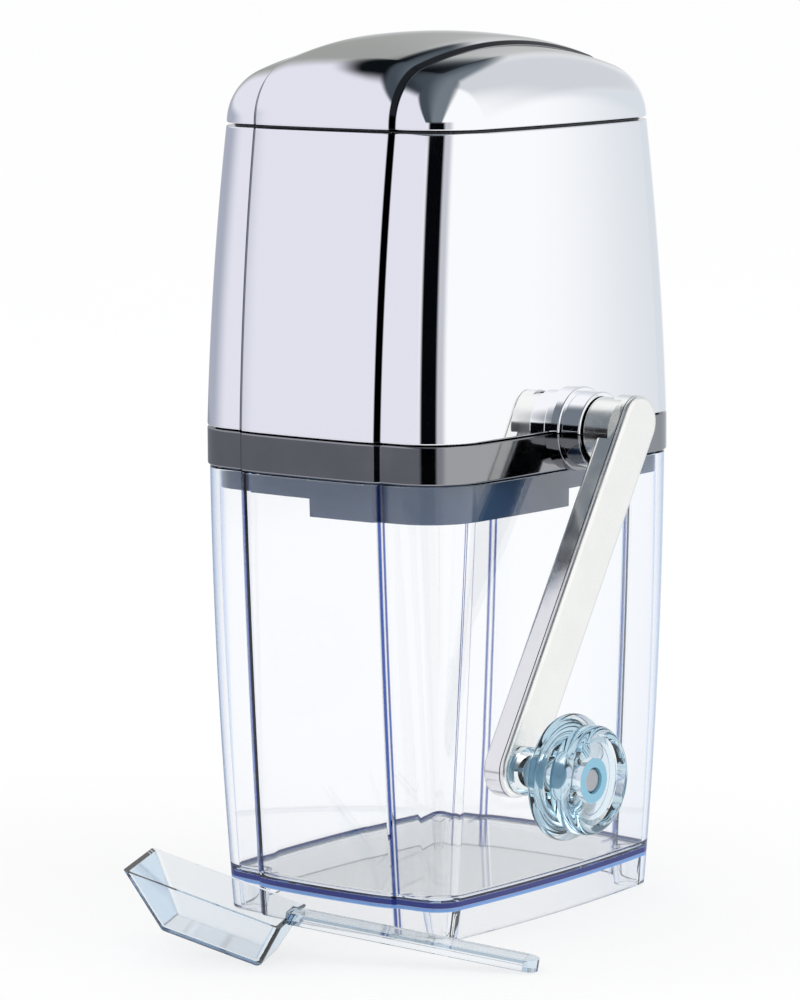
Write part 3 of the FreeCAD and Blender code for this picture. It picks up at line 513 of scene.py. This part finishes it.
def arc(x, y, radius, turns):
    """Stations on an arc round x and y, one for each turn from the X axis."""
    ways = [(math.cos(turn), math.sin(turn)) for turn in turns]
    return [Station(x + radius * nx, y + radius * ny, nx, ny) for nx, ny in ways]


def quarter(plan, inset, edge_round, spread):
    """Stations of a quarter of the outline, from the middle of the side to the middle of the end.

    The panel's stations keep their x, divided by spread, and those between panel and corner ease off.
    """
    side_radius, end_radius, side_x, end_y, corner = face_arcs(plan)
    side_turn = math.atan2(corner.y, corner.x - side_x)
    end_turn = math.atan2(corner.x, corner.y - end_y)
    stations = arc(side_x, 0, side_radius - inset, [side_turn * share for share in SIDE_SHARES])
    stations += arc(corner.x, corner.y, plan.corner - inset,
                    spaced(side_turn, math.pi / 2 - end_turn, CORNER_STEPS))
    radius = end_radius - inset
    profile = panel_profile(inset, edge_round)
    foot, corner_end = profile[-1][0], radius * math.sin(end_turn)
    shoulder = [(x, 0.0, 0.0) for x in spaced(foot, corner_end, END_STEPS + 1)[END_STEPS:0:-1]]
    for x, height, turn in shoulder + profile[::-1]:
        eased = min(max((corner_end - x) / (corner_end - foot), 0), 1)
        x /= 1 + (spread - 1) * eased
        rise = math.sqrt(radius ** 2 - x ** 2)
        stations.append(Station(x, end_y + rise, x / radius, rise / radius, height, turn))
    return stations


def ring(plan, inset, edge_round, spread=1.0):
    """Stations once round the outline, anticlockwise from the middle of the crank's side."""
    part = quarter(plan, inset, edge_round, spread)
    whole = []
    for mirror_x, mirror_y, stations in ((1, 1, part), (-1, 1, part[-2::-1]), (-1, -1, part[1:]),
                                         (1, -1, part[-2:0:-1])):
        whole += [Station(here.x * mirror_x, here.y * mirror_y, here.nx * mirror_x, here.ny * mirror_y,
                          here.height, here.turn * mirror_x) for here in stations]
    return whole


def raised(point, normal, way, station):
    """A spot of the plain skin, raised and turned as the panel is there. way is where it rises to."""
    across = (X_WAY - normal * normal.x).normalized()
    lift = Vector()
    if station.height:
        lift = Vector((0, way.y, way.z)) * (station.height / (way.y ** 2 + way.z ** 2))
    turned = normal * math.cos(station.turn) + across * math.sin(station.turn)
    return Spot(point + lift, turned, Vector((station.nx, station.ny, 0)))


def wall_row(plan_at, z, inset, edge_round):
    """One level of a wall, with the exact way that it faces."""
    row = []
    for here, above in zip(ring(plan_at(z), inset, edge_round), ring(plan_at(z + 1), inset, edge_round)):
        flat = Vector((here.nx, here.ny, 0))
        climb = Vector((above.x - here.x, above.y - here.y, 1))
        normal = (flat - UP * flat.dot(climb)).normalized()
        row.append(raised(Vector((here.x, here.y, z)), normal, flat, here))
    return row


def facing_in(row):
    """The same level, seen from inside the body."""
    return [Spot(spot.point, -spot.normal, -spot.flat) for spot in row]


def turned_over(row, radius, way, hollow=False):
    """Rows that round a wall's edge over, up or down as way is +1 or -1, or hollow into a floor."""
    side = -1 if hollow else 1
    rows = []
    for angle in spaced(0, math.pi / 2, EDGE_STEPS):
        shift, climb = side * radius * (1 - math.cos(angle)), way * radius * math.sin(angle)
        tilt = side * way * math.sin(angle)
        rows.append([Spot(spot.point - spot.flat * shift + UP * climb,
                          (spot.normal * math.cos(angle) + UP * tilt).normalized(), spot.flat)
                     for spot in row])
    return rows


def level_row(plan_at, z, inset, edge_round, way):
    """The inner border of a flat land at a rim, facing straight up or down."""
    return [Spot(spot.point, UP * way, spot.flat) for spot in wall_row(plan_at, z, inset, edge_round)]


def spaced(low, high, count):
    return [low + (high - low) * step / count for step in range(count + 1)]


def outer_wall(plan_at, heights, edge_round, low_land, high_land):
    """A wall's outside from its lower land, over both rounded edges, to its upper land."""
    low, high = heights[0], heights[-1]
    rows = [wall_row(plan_at, z, 0, edge_round)
            for z in [low + edge_round] + heights[1:-1] + [high - edge_round]]
    return ([level_row(plan_at, low, low_land, edge_round, -1)] + turned_over(rows[0], edge_round, -1)[::-1]
            + rows[1:-1] + turned_over(rows[-1], edge_round, 1)
            + [level_row(plan_at, high, high_land, edge_round, 1)])


class Skin:
    """Gathers faces with exact normals and the number of their material, and makes one piece of them."""

    def __init__(self):
        self.points, self.normals, self.faces, self.finishes = [], [], [], []

    def strip(self, rows, around=True, leave_out=None):
        """Faces between neighbouring rows. around also joins the end of each row to its start."""
        width, start = len(rows[0]), len(self.points)
        for row in rows:
            self.points += [spot.point for spot in row]
            self.normals += [spot.normal for spot in row]
        faces = []
        for low in range(start, start + width * (len(rows) - 1), width):
            for here in range(width if around else width - 1):
                beside = (here + 1) % width
                faces.append((low + here, low + beside, low + width + beside, low + width + here))
        if self.faces_backwards(faces[len(faces) // 3]):
            faces = [face[::-1] for face in faces]
        if leave_out:
            faces = [face for face in faces if not leave_out(self.middle(face))]
        self.faces += faces
        self.finishes += [0] * len(faces)

    def cap(self, row, normal):
        """One flat face inside a closed row."""
        start = len(self.points)
        self.points += [spot.point for spot in row]
        self.normals += [normal] * len(row)
        face = tuple(range(start, start + len(row)))
        self.faces.append(face[::-1] if self.faces_backwards(face) else face)
        self.finishes.append(0)

    def middle(self, face):
        return sum((self.points[corner] for corner in face), Vector()) / len(face)

    def faces_backwards(self, face):
        a, b, c = (self.points[face[i]] for i in (0, len(face) // 3, 2 * len(face) // 3))
        return (b - a).cross(c - a).dot(self.normals[face[0]]) < 0

    def carry_over(self, node, keep, finish=0):
        """Faces of a CAD node that keep() wants, with the normals they have there."""
        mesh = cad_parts[node].data
        spots = [vertex.co / MM for vertex in mesh.vertices]
        for polygon in mesh.polygons:
            corners = [spots[i] for i in polygon.vertices]
            if keep(corners):
                start = len(self.points)
                self.points += corners
                self.normals += [mesh.corner_normals[i].vector.copy() for i in polygon.loop_indices]
                self.faces.append(tuple(range(start, start + len(corners))))
                self.finishes.append(finish)

    def piece(self, name, body, node, *materials):
        """The finished piece, which stands for the CAD node and moves with its body."""
        mesh = bpy.data.meshes.new(name)
        mesh.from_pydata([point * MM for point in self.points], [], self.faces)
        for material in materials:
            mesh.materials.append(material)
        for polygon, finish in zip(mesh.polygons, self.finishes):
            polygon.use_smooth = True
            polygon.material_index = finish
        mesh.normals_split_custom_set_from_vertices(self.normals)
        made = placed(name, mesh)
        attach(made, body)
        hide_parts(node)


def depth_gauge(plan_at, heights, edge_round, more_rows=(), crown=None):
    """A function that tells how deep inside a wall, and the crown over it, each corner of a face lies.

    heights reach well past both ends of what it gauges.
    """
    gauge = Skin()
    gauge.strip([wall_row(plan_at, z, 0, edge_round) for z in heights] + list(more_rows))
    if crown:
        gauge.strip(crown, around=False)
    tree = BVHTree.FromPolygons(gauge.points, gauge.faces)

    def depths(corners):
        found = [(corner, *tree.find_nearest(corner)) for corner in corners]
        return [-distance if (corner - place).dot(normal) > 0 else distance
                for corner, place, normal, _, distance in found]

    return depths


def half_turned(skin, profile, upper, steps=40):
    """Half of a turned shape round the crank's axis. profile holds x, radius and the way it faces."""
    rows = []
    for x, radius, turn in profile:
        skip = 0 if upper else math.asin(SEAM_GAP / radius)
        row = []
        for angle in spaced(skip, math.pi - skip, steps):
            out = Vector((0, math.cos(angle), math.sin(angle) * (1 if upper else -1)))
            row.append(Spot(Vector((x, 0, PARTING)) + out * radius,
                            X_WAY * math.sin(turn) + out * math.cos(turn), out))
        rows.append(row)
    skin.strip(rows, around=False)
    return rows


def boss(skin, upper, edge_round, start):
    """Half of the boss round the crank's bush: a wide foot, a narrower nose and its bored end."""
    def barrel(foot, end, radius, inner_radius):
        over = [(end - edge_round * (1 - math.sin(turn)), radius - edge_round * (1 - math.cos(turn)), turn)
                for turn in spaced(0, math.pi / 2, EDGE_STEPS)]
        return [(foot, radius, 0.0), *over, (end, inner_radius, math.pi / 2)]

    foot = barrel(start, BOSS_FOOT_END, BOSS_FOOT_RADIUS, BOSS_NOSE_RADIUS)
    nose = barrel(BOSS_FOOT_END, BOSS_NOSE_END, BOSS_NOSE_RADIUS, BUSH_BORE)
    bore = [(BOSS_NOSE_END, BUSH_BORE, math.pi), (start, BUSH_BORE, math.pi)]
    rows = []
    for profile in (foot, nose, bore):
        rows += half_turned(skin, profile, upper)
    for end in (0, -1):
        skin.cap([row[end] for row in rows], UP * (-1 if upper else 1))


def at_boss(point):
    """True where the boss takes the wall's place."""
    return point.x > 0 and math.hypot(point.y, point.z - PARTING) < BOSS_OPENING


# ------------------------------ the lid's shape
FOOT_AT = len(SIDE_SHARES) + CORNER_STEPS + 1 + END_STEPS
CROWN_CENTRE = Vector((0, 0, LID_TOP - PANEL_RISE - LID_CROWN))
LEAN_OVER = 10
HALVINGS = 30


def lid_row(level, spread, edge_round, plain=False):
    """One level of the lid. It runs up the side from -1 to 0, and round the large edge from 0 to 1.

    A ball of the edge's radius rolls along inside the leaning side and the crown, so that the edge
    meets both without a crease. plain leaves the panel out.
    """
    row = []
    lowest = LID_LIFT + edge_round
    for foot, head in zip(ring(lid_plan(SEAM), 0, edge_round, spread),
                          ring(lid_plan(SEAM + LEAN_OVER), 0, edge_round, spread)):
        flat = Vector((foot.nx, foot.ny, 0))
        climb = Vector((head.x - foot.x, head.y - foot.y, LEAN_OVER)) / LEAN_OVER
        side = (flat - UP * flat.dot(climb)).normalized()
        base = Vector((foot.x, foot.y, SEAM))
        low, high = 0, LID_TOP - SEAM
        for _ in range(HALVINGS):
            rise = (low + high) / 2
            ball = base + climb * rise - side * LID_EDGE
            if (ball - CROWN_CENTRE).length < LID_CROWN - LID_EDGE:
                low = rise
            else:
                high = rise
        if level < 0:
            touch = (ball + side * LID_EDGE).z - SEAM
            normal, point = side, base + climb * (lowest + (touch - lowest) * (1 + level))
        else:
            normal = side.slerp((ball - CROWN_CENTRE).normalized(), level)
            point = ball + normal * LID_EDGE
        row.append(Spot(point, normal, flat) if plain else raised(point, normal, normal, foot))
    return row


def straight_spread(level, edge_round):
    """How much the panel's stations have to draw in at this level, so that its edges run straight."""
    start = ring(lid_plan(SEAM), 0, edge_round)[FOOT_AT]
    return lid_row(level, 1.0, edge_round, True)[FOOT_AT].point.x / start.x


def lid_side(edge_round, steps=18):
    """The lid's outside from its land at the seam up to the crown."""
    levels = [-1, -0.5] + spaced(0, 1, steps)
    rows = [lid_row(level, straight_spread(max(level, 0), edge_round), edge_round) for level in levels]
    return ([level_row(lid_plan, SEAM + LID_LIFT, HOUSING_WALL, edge_round, -1)]
            + turned_over(rows[0], edge_round, -1)[::-1] + rows[1:])


def lid_crown(edge_round):
    """A grid over the crown. Its lines meet those of the rounded edge, and the panel's run straight."""
    spread = straight_spread(1, edge_round)
    loop = lid_row(1, spread, edge_round, True)
    stations = ring(lid_plan(SEAM), 0, edge_round, spread)
    corner_at, end_at = len(SIDE_SHARES) + CORNER_STEPS // 2, FOOT_AT + len(panel_profile(0, edge_round))
    corner, foot_x = loop[corner_at].point, loop[FOOT_AT].point.x
    halves = [(1, spot) for spot in loop[corner_at::-1]] + [(-1, spot) for spot in loop[1:corner_at + 1]]
    rows = []
    for turn_y, side in halves:
        share = turn_y * side.point.y / corner.y
        narrowed = (side.point.x - foot_x) / (corner.x - foot_x)
        row = []
        for turn_x, order in ((1, range(corner_at, end_at)), (-1, range(end_at - 2, corner_at - 1, -1))):
            for number in order:
                end, station = loop[number].point, stations[number]
                x = end.x if number >= FOOT_AT else foot_x + (end.x - foot_x) * narrowed
                level = Vector((turn_x * x, share * end.y, 0))
                height = math.sqrt(LID_CROWN ** 2 - level.length_squared)
                normal = (level + UP * height) / LID_CROWN
                shape = station._replace(turn=station.turn * turn_x)
                row.append(raised(CROWN_CENTRE + normal * LID_CROWN, normal, normal, shape))
        rows.append(row)
    return rows


# ------------------------------ operators, one for each group of pieces
class CrusherOperator(bpy.types.Operator):
    """Shared options of the ice crusher's operators."""

    bl_options = {"REGISTER", "UNDO"}


class ICECRUSHER_OT_clear_container(CrusherOperator):
    """Build the clear container that catches the crushed ice"""

    bl_idname = "icecrusher.clear_container"
    bl_label = "Clear Container"

    def execute(self, context):
        finish = settings().finish
        edge = settings().shell.clear_edge / MM
        top = CONTAINER_HEIGHT - SEAM_GAP
        hollow = settings().shell.floor_hollow / MM

        def outside(z):
            return wall_row(container_plan, z, 0, edge)

        def inside(z, wall):
            return facing_in(wall_row(container_plan, z, wall, edge))

        rows = [inside(FLOOR_UNDERSIDE, SKIRT_WALL), inside(FLOOR_UNDERSIDE / 2, SKIRT_WALL)]
        rows += turned_over(inside(edge, SKIRT_WALL), edge, -1)
        rows += turned_over(outside(edge), edge, -1)[::-1]
        rows += [outside(z) for z in spaced(edge, top - edge, WALL_STEPS)[1:-1]]
        rows += turned_over(outside(top - edge), edge, 1)
        rows += turned_over(inside(top - edge, CONTAINER_WALL), edge, 1)[::-1]
        rows += [inside(z, CONTAINER_WALL)
                 for z in spaced(top - edge, FLOOR_TOP + hollow, WALL_STEPS)[1:-1]]
        rows += turned_over(inside(FLOOR_TOP + hollow, CONTAINER_WALL), hollow, -1, True)
        skin = Skin()
        skin.strip(rows)
        skin.cap(rows[-1], UP)
        depths_at = depth_gauge(container_plan, (-15, 0, 15, 30), edge)

        def under_the_floor(corners):
            depths = depths_at(corners)
            heights = [corner.z for corner in corners]
            level = max(heights) - min(heights) < LEVEL_SLACK
            return (max(heights) < FLOOR_UNDERSIDE + HEIGHT_SLACK and min(depths) > SKIRT_WALL - SKIRT_SLACK
                    and (max(depths) > SKIRT_WALL + SKIRT_SLACK or (level and max(heights) > edge)))

        skin.carry_over("container", under_the_floor)
        skin.piece("clear_container", "container", "container",
                   # The container's lines along its panels and floor are painted light.
                   clear_moulded("clear_moulded_san", finish.clear_tint, finish.clear_edge_on, density=7.0,
                                 painted_line_tint=finish.clear_painted_lines))
        return {"FINISHED"}


class ICECRUSHER_OT_plated_shells(CrusherOperator):
    """Build the plated housing and lid, and the dark base frame"""

    bl_idname = "icecrusher.plated_shells"
    bl_label = "Plated Shells"

    def execute(self, context):
        edge = settings().shell.plated_edge / MM
        finish = settings().finish
        # The slopes beside the panels get painted shade and dark reflection.
        chrome = plated_metal("chrome_plated_abs", finish.plating, 0.02, finish.painted_slope_shade, panel_slopes)
        self.make_housing(edge, chrome)
        self.make_lid(edge, chrome)
        self.make_base_frame(edge)
        return {"FINISHED"}

    def make_housing(self, edge, chrome):
        heights = spaced(PARTING, BOSS_ROWS_END, 11) + spaced(BOSS_ROWS_END, SEAM - SEAM_GAP, 16)[1:]
        rows = outer_wall(housing_plan, heights, edge, HOUSING_WALL, HOUSING_WALL)
        skin = Skin()
        skin.strip(rows, leave_out=at_boss)
        boss(skin, True, edge, BAND_PLAN.half_width - HOUSING_WALL)
        depths = depth_gauge(housing_plan, spaced(PARTING - 15, SEAM + 10, 8), edge)
        skin.carry_over("upper_housing", lambda corners: min(depths(corners)) > HOUSING_WALL - SLACK)
        skin.piece("plated_housing", "hopper_unit", "upper_housing", chrome)

    def make_lid(self, edge, chrome):
        side, crown = lid_side(edge), lid_crown(edge)
        skin = Skin()
        skin.strip(side)
        skin.strip(crown, around=False)
        depths = depth_gauge(lid_plan, [SEAM - 15], edge, side[EDGE_STEPS + 1:], crown)
        skin.carry_over("lid", lambda corners: min(depths(corners)) > HOUSING_WALL - LID_SLACK, 1)
        skin.piece("plated_lid", "lid", "lid", chrome, inner_abs_with_painted_shade())

    def make_base_frame(self, edge):
        rows = outer_wall(band_plan, spaced(CONTAINER_HEIGHT, PARTING - SEAM_GAP, 10), edge,
                          COLLAR_INSET + BAND_OVERHANG, FRAME_WALL)
        skin = Skin()
        skin.strip(rows, leave_out=at_boss)
        boss(skin, False, edge, RIM_PLAN.half_width + SEAM_GAP)
        depths = depth_gauge(band_plan, (100, 160), edge)

        def inside_band(corners):
            return min(depths(corners)) > FRAME_WALL - SLACK and not on_collar(corners)

        def on_collar(corners):
            return (min(depths(corners)) > COLLAR_DEPTH
                    and min(corner.z for corner in corners) <= CONTAINER_HEIGHT - HEIGHT_SLACK)

        skin.carry_over("base_frame", inside_band)
        skin.carry_over("base_frame", on_collar, 1)
        skin.piece("dark_base_frame", "hopper_unit", "base_frame", dark_plated_abs(), slate_abs())


class ICECRUSHER_OT_hopper_liner(CrusherOperator):
    """Finish the hopper liner and the bearing bushes"""

    bl_idname = "icecrusher.hopper_liner"
    bl_label = "Hopper Liner and Bushes"

    def execute(self, context):
        finish = settings().finish
        finish_node("hopper_liner", moulded_plastic("moulded_abs_liner", finish.liner, roughness=0.35,
                                                    grain_height=0.02 * MM))
        acetal = moulded_plastic("turned_acetal", finish.bush, roughness=0.42)
        for name in ("left_bush", "right_bush"):
            finish_node(name, acetal)
        return {"FINISHED"}


class ICECRUSHER_OT_crushing_steel(CrusherOperator):
    """Finish the rotor, the fixed combs and the fasteners"""

    bl_idname = "icecrusher.crushing_steel"
    bl_label = "Rotor, Combs and Fasteners"

    def execute(self, context):
        steel = ground_steel()
        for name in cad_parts:
            if name.startswith("rotor_") or name.endswith("_comb") or name == "retaining_clip":
                finish_node(name, steel)
        zinc = zinc_plated_steel()
        for name in ("housing_screws", "crank_screw"):
            finish_node(name, zinc)
        return {"FINISHED"}


class ICECRUSHER_OT_crank(CrusherOperator):
    """Finish the crank arm and its cover"""

    bl_idname = "icecrusher.crank"
    bl_label = "Crank Arm"

    def execute(self, context):
        finish = settings().finish
        finish_node("crank_arm_cover", plated_metal("satin_chrome_plated_abs", finish.arm, roughness=0.2,
                                                    wave_height=0.006 * MM))
        # The arm's back, which faces the body, is darkened as painted shade.
        finish_node("crank_arm", plated_metal("chrome_plated_abs_bar", finish.arm, 0.12, finish.arm_back_painted_shade,
                                              painted_shade_on_back, wave_height=0.006 * MM))
        return {"FINISHED"}


class ICECRUSHER_OT_knob(CrusherOperator):
    """Finish the clear knob, its sleeve and its pin"""

    bl_idname = "icecrusher.knob"
    bl_label = "Knob"

    def execute(self, context):
        finish = settings().finish
        finish_node("knob", clear_moulded("clear_moulded_acrylic", finish.knob_tint, finish.knob_edge_on,
                                          density=22.0))
        finish_node("knob_hub", moulded_plastic("moulded_blue_abs", finish.hub, roughness=0.18,
                                                grain_height=0.002 * MM))
        finish_node("knob_pin", zinc_plated_steel())
        return {"FINISHED"}


class ICECRUSHER_OT_scoop(CrusherOperator):
    """Finish the clear scoop"""

    bl_idname = "icecrusher.scoop"
    bl_label = "Scoop"

    def execute(self, context):
        finish = settings().finish
        finish_node("scoop", clear_moulded("clear_moulded_styrene", finish.scoop_tint,
                                           finish.scoop_edge_on, density=48.0))
        return {"FINISHED"}


def toward(azimuth, elevation, distance):
    """A place round the crusher. Azimuth 0 is in front and 90 on the crank's side."""
    turn, rise = math.radians(azimuth), math.radians(elevation)
    level = math.cos(rise)
    return Vector((math.sin(turn) * level, -math.cos(turn) * level, math.sin(rise))) * distance


# What the plating shows: name, colour, azimuth, half width and softness, then lowest and highest
# elevation and softness, in degrees. Azimuth 0 is in front and 90 on the crank's side.
STUDIO_CLOTHS = (
    ("lilac_wall", "#e5e5ee", -55, 71, 16, -90, 90, 6),
    ("low_grey_wall", "#abafbd", -104, 34, 44, -20, 9, 10),
    ("far_grey_fold", "#9fa19e", -135, 16, 28, 4, 52, 16),
    ("back_wall", "#d3d6da", 172, 34, 26, 14, 90, 16),
    ("side_fade", "#dce1e6", 172, 24, 20, -90, 17, 6),
    ("table_edge", "#93959d", -55, 73, 6, -11, -5.8, 1.2),
    ("flag_side", "#c6c8cf", 50, 9, 12, -20, 14, 3),
)
FLAG = ("flag", "#04060a", 30.5, 14.7, 6, -20, 14, 4)
# The ceiling is level, so each edge is a straight line in x and y over the height: the weights of x
# and y, where the edge is, and its softness, which is negative where the cloth ends.
LEFT_EDGE = (1, 0.295, -0.56, 0.16)
RIGHT_EDGE = (1, 0.687, 0.42, -0.34)
NEAR_EDGE = (0.95, 1, 0.62, -0.22)
CEILING_CLOTHS = (
    ("dark_ceiling", "#434b53", (LEFT_EDGE, RIGHT_EDGE, NEAR_EDGE)),
    ("lighter_ceiling", "#747c84", (LEFT_EDGE, (1, 0.4, -0.12, 0.5), RIGHT_EDGE, NEAR_EDGE)),
    ("ceiling_strip", "#0c1114", ((1, 0.26, -0.71, 0.16), (1, 0.26, -0.45, -0.14), (0, 1, -0.2, 0.6),
                                  (0, 1, 1.2, -0.5))),
)
# The ceiling starts at this elevation, and LEAST_RISE keeps its lines finite down at the horizon.
CEILING_FROM, CEILING_SOFT = 13, 3
LEAST_RISE = 0.02

# The soft box and the camera: azimuth, elevation and distance from the crusher, in degrees and metres.
SOFT_BOX_AT = (110, 52, 2.4)
SOFT_BOX_SIZE = (1.6, 1.2)
CRUSHER_MIDDLE = Vector((0, 0, 0.12))
AZIMUTH, ELEVATION, ROLL = 38.0, 7.85, -0.29
DISTANCE, LOOK_HEIGHT, SIDE_SHIFT = 1.35897, 0.11836, -0.01173
SENSOR_WIDTH, LENS = 36.0, 166.117


def hang(tree, tone, cloth, level, elevation):
    """A cloth that hangs round the crusher, laid over what the studio shows so far."""
    name, hex_colour, azimuth, half_width, side_soft, low, high, soft = cloth
    ahead = add(tree, "VectorMath", {0: level, 1: toward(azimuth, 0, 1)}, operation="DOT_PRODUCT")
    aside = add(tree, "Math", {0: ahead}, operation="ARCCOSINE")
    aside = add(tree, "Math", {0: aside}, operation="DEGREES")
    return laid_over(tree, name, tone, linear(hex_colour), soft_step(tree, aside, half_width, -side_soft),
                     soft_step(tree, elevation, low, soft), soft_step(tree, elevation, high, -soft))


def span(tree, tone, cloth, across, along, elevation):
    """A cloth under the ceiling, laid over what the studio shows so far."""
    name, hex_colour, edges = cloth
    masks = [soft_step(tree, elevation, CEILING_FROM, CEILING_SOFT)]
    for across_weight, along_weight, edge, soft in edges:
        part = add(tree, "Math", {0: along, 1: along_weight}, operation="MULTIPLY")
        slanted = add(tree, "Math", {0: across, 1: across_weight, 2: part}, operation="MULTIPLY_ADD")
        masks.append(soft_step(tree, slanted, edge, soft))
    return laid_over(tree, name, tone, linear(hex_colour), *masks)


class ICECRUSHER_OT_studio(CrusherOperator):
    """Build the floor, the studio round the crusher, the soft light and the camera"""

    bl_idname = "icecrusher.studio"
    bl_label = "Studio"

    def execute(self, context):
        self.make_floor()
        self.make_world()
        self.make_lights()
        self.make_camera()
        context.scene.view_settings.view_transform = "Standard"
        return {"FINISHED"}

    def make_floor(self):
        """A large pale disc that the crusher stands on."""
        mesh = bpy.data.meshes.new("floor")
        corners = 64
        radius = settings().studio.floor_radius
        points = [toward(360 * corner / corners, 0, radius) for corner in range(corners)]
        mesh.from_pydata(points, [], [tuple(range(corners))])
        mesh.materials.append(self.floor_paint())
        floor = placed("floor", mesh)
        floor.visible_glossy = False

    def floor_paint(self):
        """Matt white floor paint, near the background's white, that keeps a faint shadow.

        To the eye and through clear plastic it is mostly the background itself. The plating shows the
        tent below the horizon too.
        """
        material, tree = blank_material("matt_white_floor_paint")
        cloud = add(tree, "TexNoise", {"Vector": own_place(tree), "Scale": 4.0, "Detail": 3.0})
        shade = add(tree, "MapRange", {"Value": cloud, "To Min": 0.985, "To Max": 1.0})
        paint = add(tree, "VectorMath", {0: settings().studio.floor, "Scale": shade}, operation="SCALE")
        matt = add(tree, "BsdfDiffuse", {"Color": paint})
        white = add(tree, "Emission", {"Color": WHITE, "Strength": 1.0})
        path = add(tree, "LightPath").outputs
        seen = add(tree, "Math", {0: path["Is Camera Ray"], 1: path["Is Transmission Ray"]},
                   operation="MAXIMUM")
        share = add(tree, "Math", {0: seen, 1: settings().studio.floor_glow}, operation="MULTIPLY")
        add(tree, "OutputMaterial", {"Surface": add(tree, "MixShader", {0: share, 1: matt, 2: white})})
        return material

    def make_world(self):
        """White for the eye, through clear plastic and on matt surfaces. The plating shows a studio.

        That studio is a white tent with a lilac wall on the left, a dark ceiling with one black strip,
        and a tall black flag beside the camera, which the front corner shows as a dark stripe.
        """
        world = bpy.data.worlds.new("studio_world")
        bpy.context.scene.world = world
        world.use_nodes = True
        tree = world.node_tree
        tree.nodes.clear()
        axes = add(tree, "SeparateXYZ", {"Vector": add(tree, "TexCoord").outputs["Generated"]}).outputs
        level = add(tree, "CombineXYZ", {"X": axes["X"], "Y": axes["Y"]})
        level = add(tree, "VectorMath", {"Vector": level}, operation="NORMALIZE")
        elevation = add(tree, "Math", {0: axes["Z"]}, operation="ARCSINE")
        elevation = add(tree, "Math", {0: elevation}, operation="DEGREES")
        tone = settings().studio.tent
        for cloth in STUDIO_CLOTHS:
            tone = hang(tree, tone, cloth, level, elevation)
        overhead = add(tree, "Math", {0: axes["Z"], 1: LEAST_RISE}, operation="MAXIMUM")
        across, along = (add(tree, "Math", {0: axes[way], 1: overhead}, operation="DIVIDE") for way in "XY")
        for cloth in CEILING_CLOTHS:
            tone = span(tree, tone, cloth, across, along, elevation)
        tone = hang(tree, tone, FLAG, level, elevation)
        plain = add(tree, "Background", {"Color": WHITE, "Strength": 1.0})
        shown = add(tree, "Background", {"Color": tone, "Strength": 1.0})
        is_glossy = add(tree, "LightPath").outputs["Is Glossy Ray"]
        add(tree, "OutputWorld", {"Surface": add(tree, "MixShader", {0: is_glossy, 1: plain, 2: shown})})

    def make_lights(self):
        """One large soft box high on the crank's side."""
        data = bpy.data.lights.new("soft_box", "AREA")
        data.shape = "RECTANGLE"
        data.size, data.size_y = SOFT_BOX_SIZE
        data.energy = settings().studio.soft_box_power
        box = placed("soft_box", data)
        box.location = toward(*SOFT_BOX_AT)
        box.rotation_mode = "QUATERNION"
        box.rotation_quaternion = (CRUSHER_MIDDLE - box.location).to_track_quat("-Z", "Y")
        box.visible_glossy = False

    def make_camera(self):
        """A long lens a little above the crusher's middle, turned towards the crank's side."""
        back = toward(AZIMUTH, ELEVATION, 1)
        level = toward(AZIMUTH + 90, 0, 1)
        upward = back.cross(level)
        roll = math.radians(ROLL)
        right = level * math.cos(roll) + upward * math.sin(roll)
        up = upward * math.cos(roll) - level * math.sin(roll)
        place = Vector((0, 0, LOOK_HEIGHT)) + right * SIDE_SHIFT + back * DISTANCE
        data = bpy.data.cameras.new("camera")
        data.sensor_width, data.lens = SENSOR_WIDTH, LENS
        camera = placed("camera", data)
        camera.matrix_world = Matrix.Translation(place) @ Matrix((right, up, back)).transposed().to_4x4()
        bpy.context.scene.camera = camera


class ICECRUSHER_PT_looks(bpy.types.Panel):
    """Lists the ice crusher's steps and settings."""

    bl_label = "Ice Crusher"
    bl_idname = "ICECRUSHER_PT_looks"
    bl_space_type = "VIEW_3D"
    bl_region_type = "UI"
    bl_category = "Ice Crusher"

    def draw(self, context):
        column = self.layout.column()
        for step in STEPS:
            column.operator(step.bl_idname)
        for group in (settings().shell, settings().finish, settings().studio):
            for name in group.__annotations__:
                column.prop(group, name)


STEPS = (
    ICECRUSHER_OT_clear_container,
    ICECRUSHER_OT_plated_shells,
    ICECRUSHER_OT_hopper_liner,
    ICECRUSHER_OT_crushing_steel,
    ICECRUSHER_OT_crank,
    ICECRUSHER_OT_knob,
    ICECRUSHER_OT_scoop,
    ICECRUSHER_OT_studio,
)
CLASSES = (IceCrusherShell, IceCrusherFinish, IceCrusherStudio, IceCrusherSettings, *STEPS,
           ICECRUSHER_PT_looks)


def register():
    for item in CLASSES:
        bpy.utils.register_class(item)
    bpy.types.Scene.ice_crusher = PointerProperty(type=IceCrusherSettings)


def unregister():
    del bpy.types.Scene.ice_crusher
    for item in reversed(CLASSES):
        bpy.utils.unregister_class(item)


def main():
    register()
    for step in STEPS:
        group, name = step.bl_idname.split(".")
        getattr(getattr(bpy.ops, group), name)()


if __name__ == "__main__":
    main()
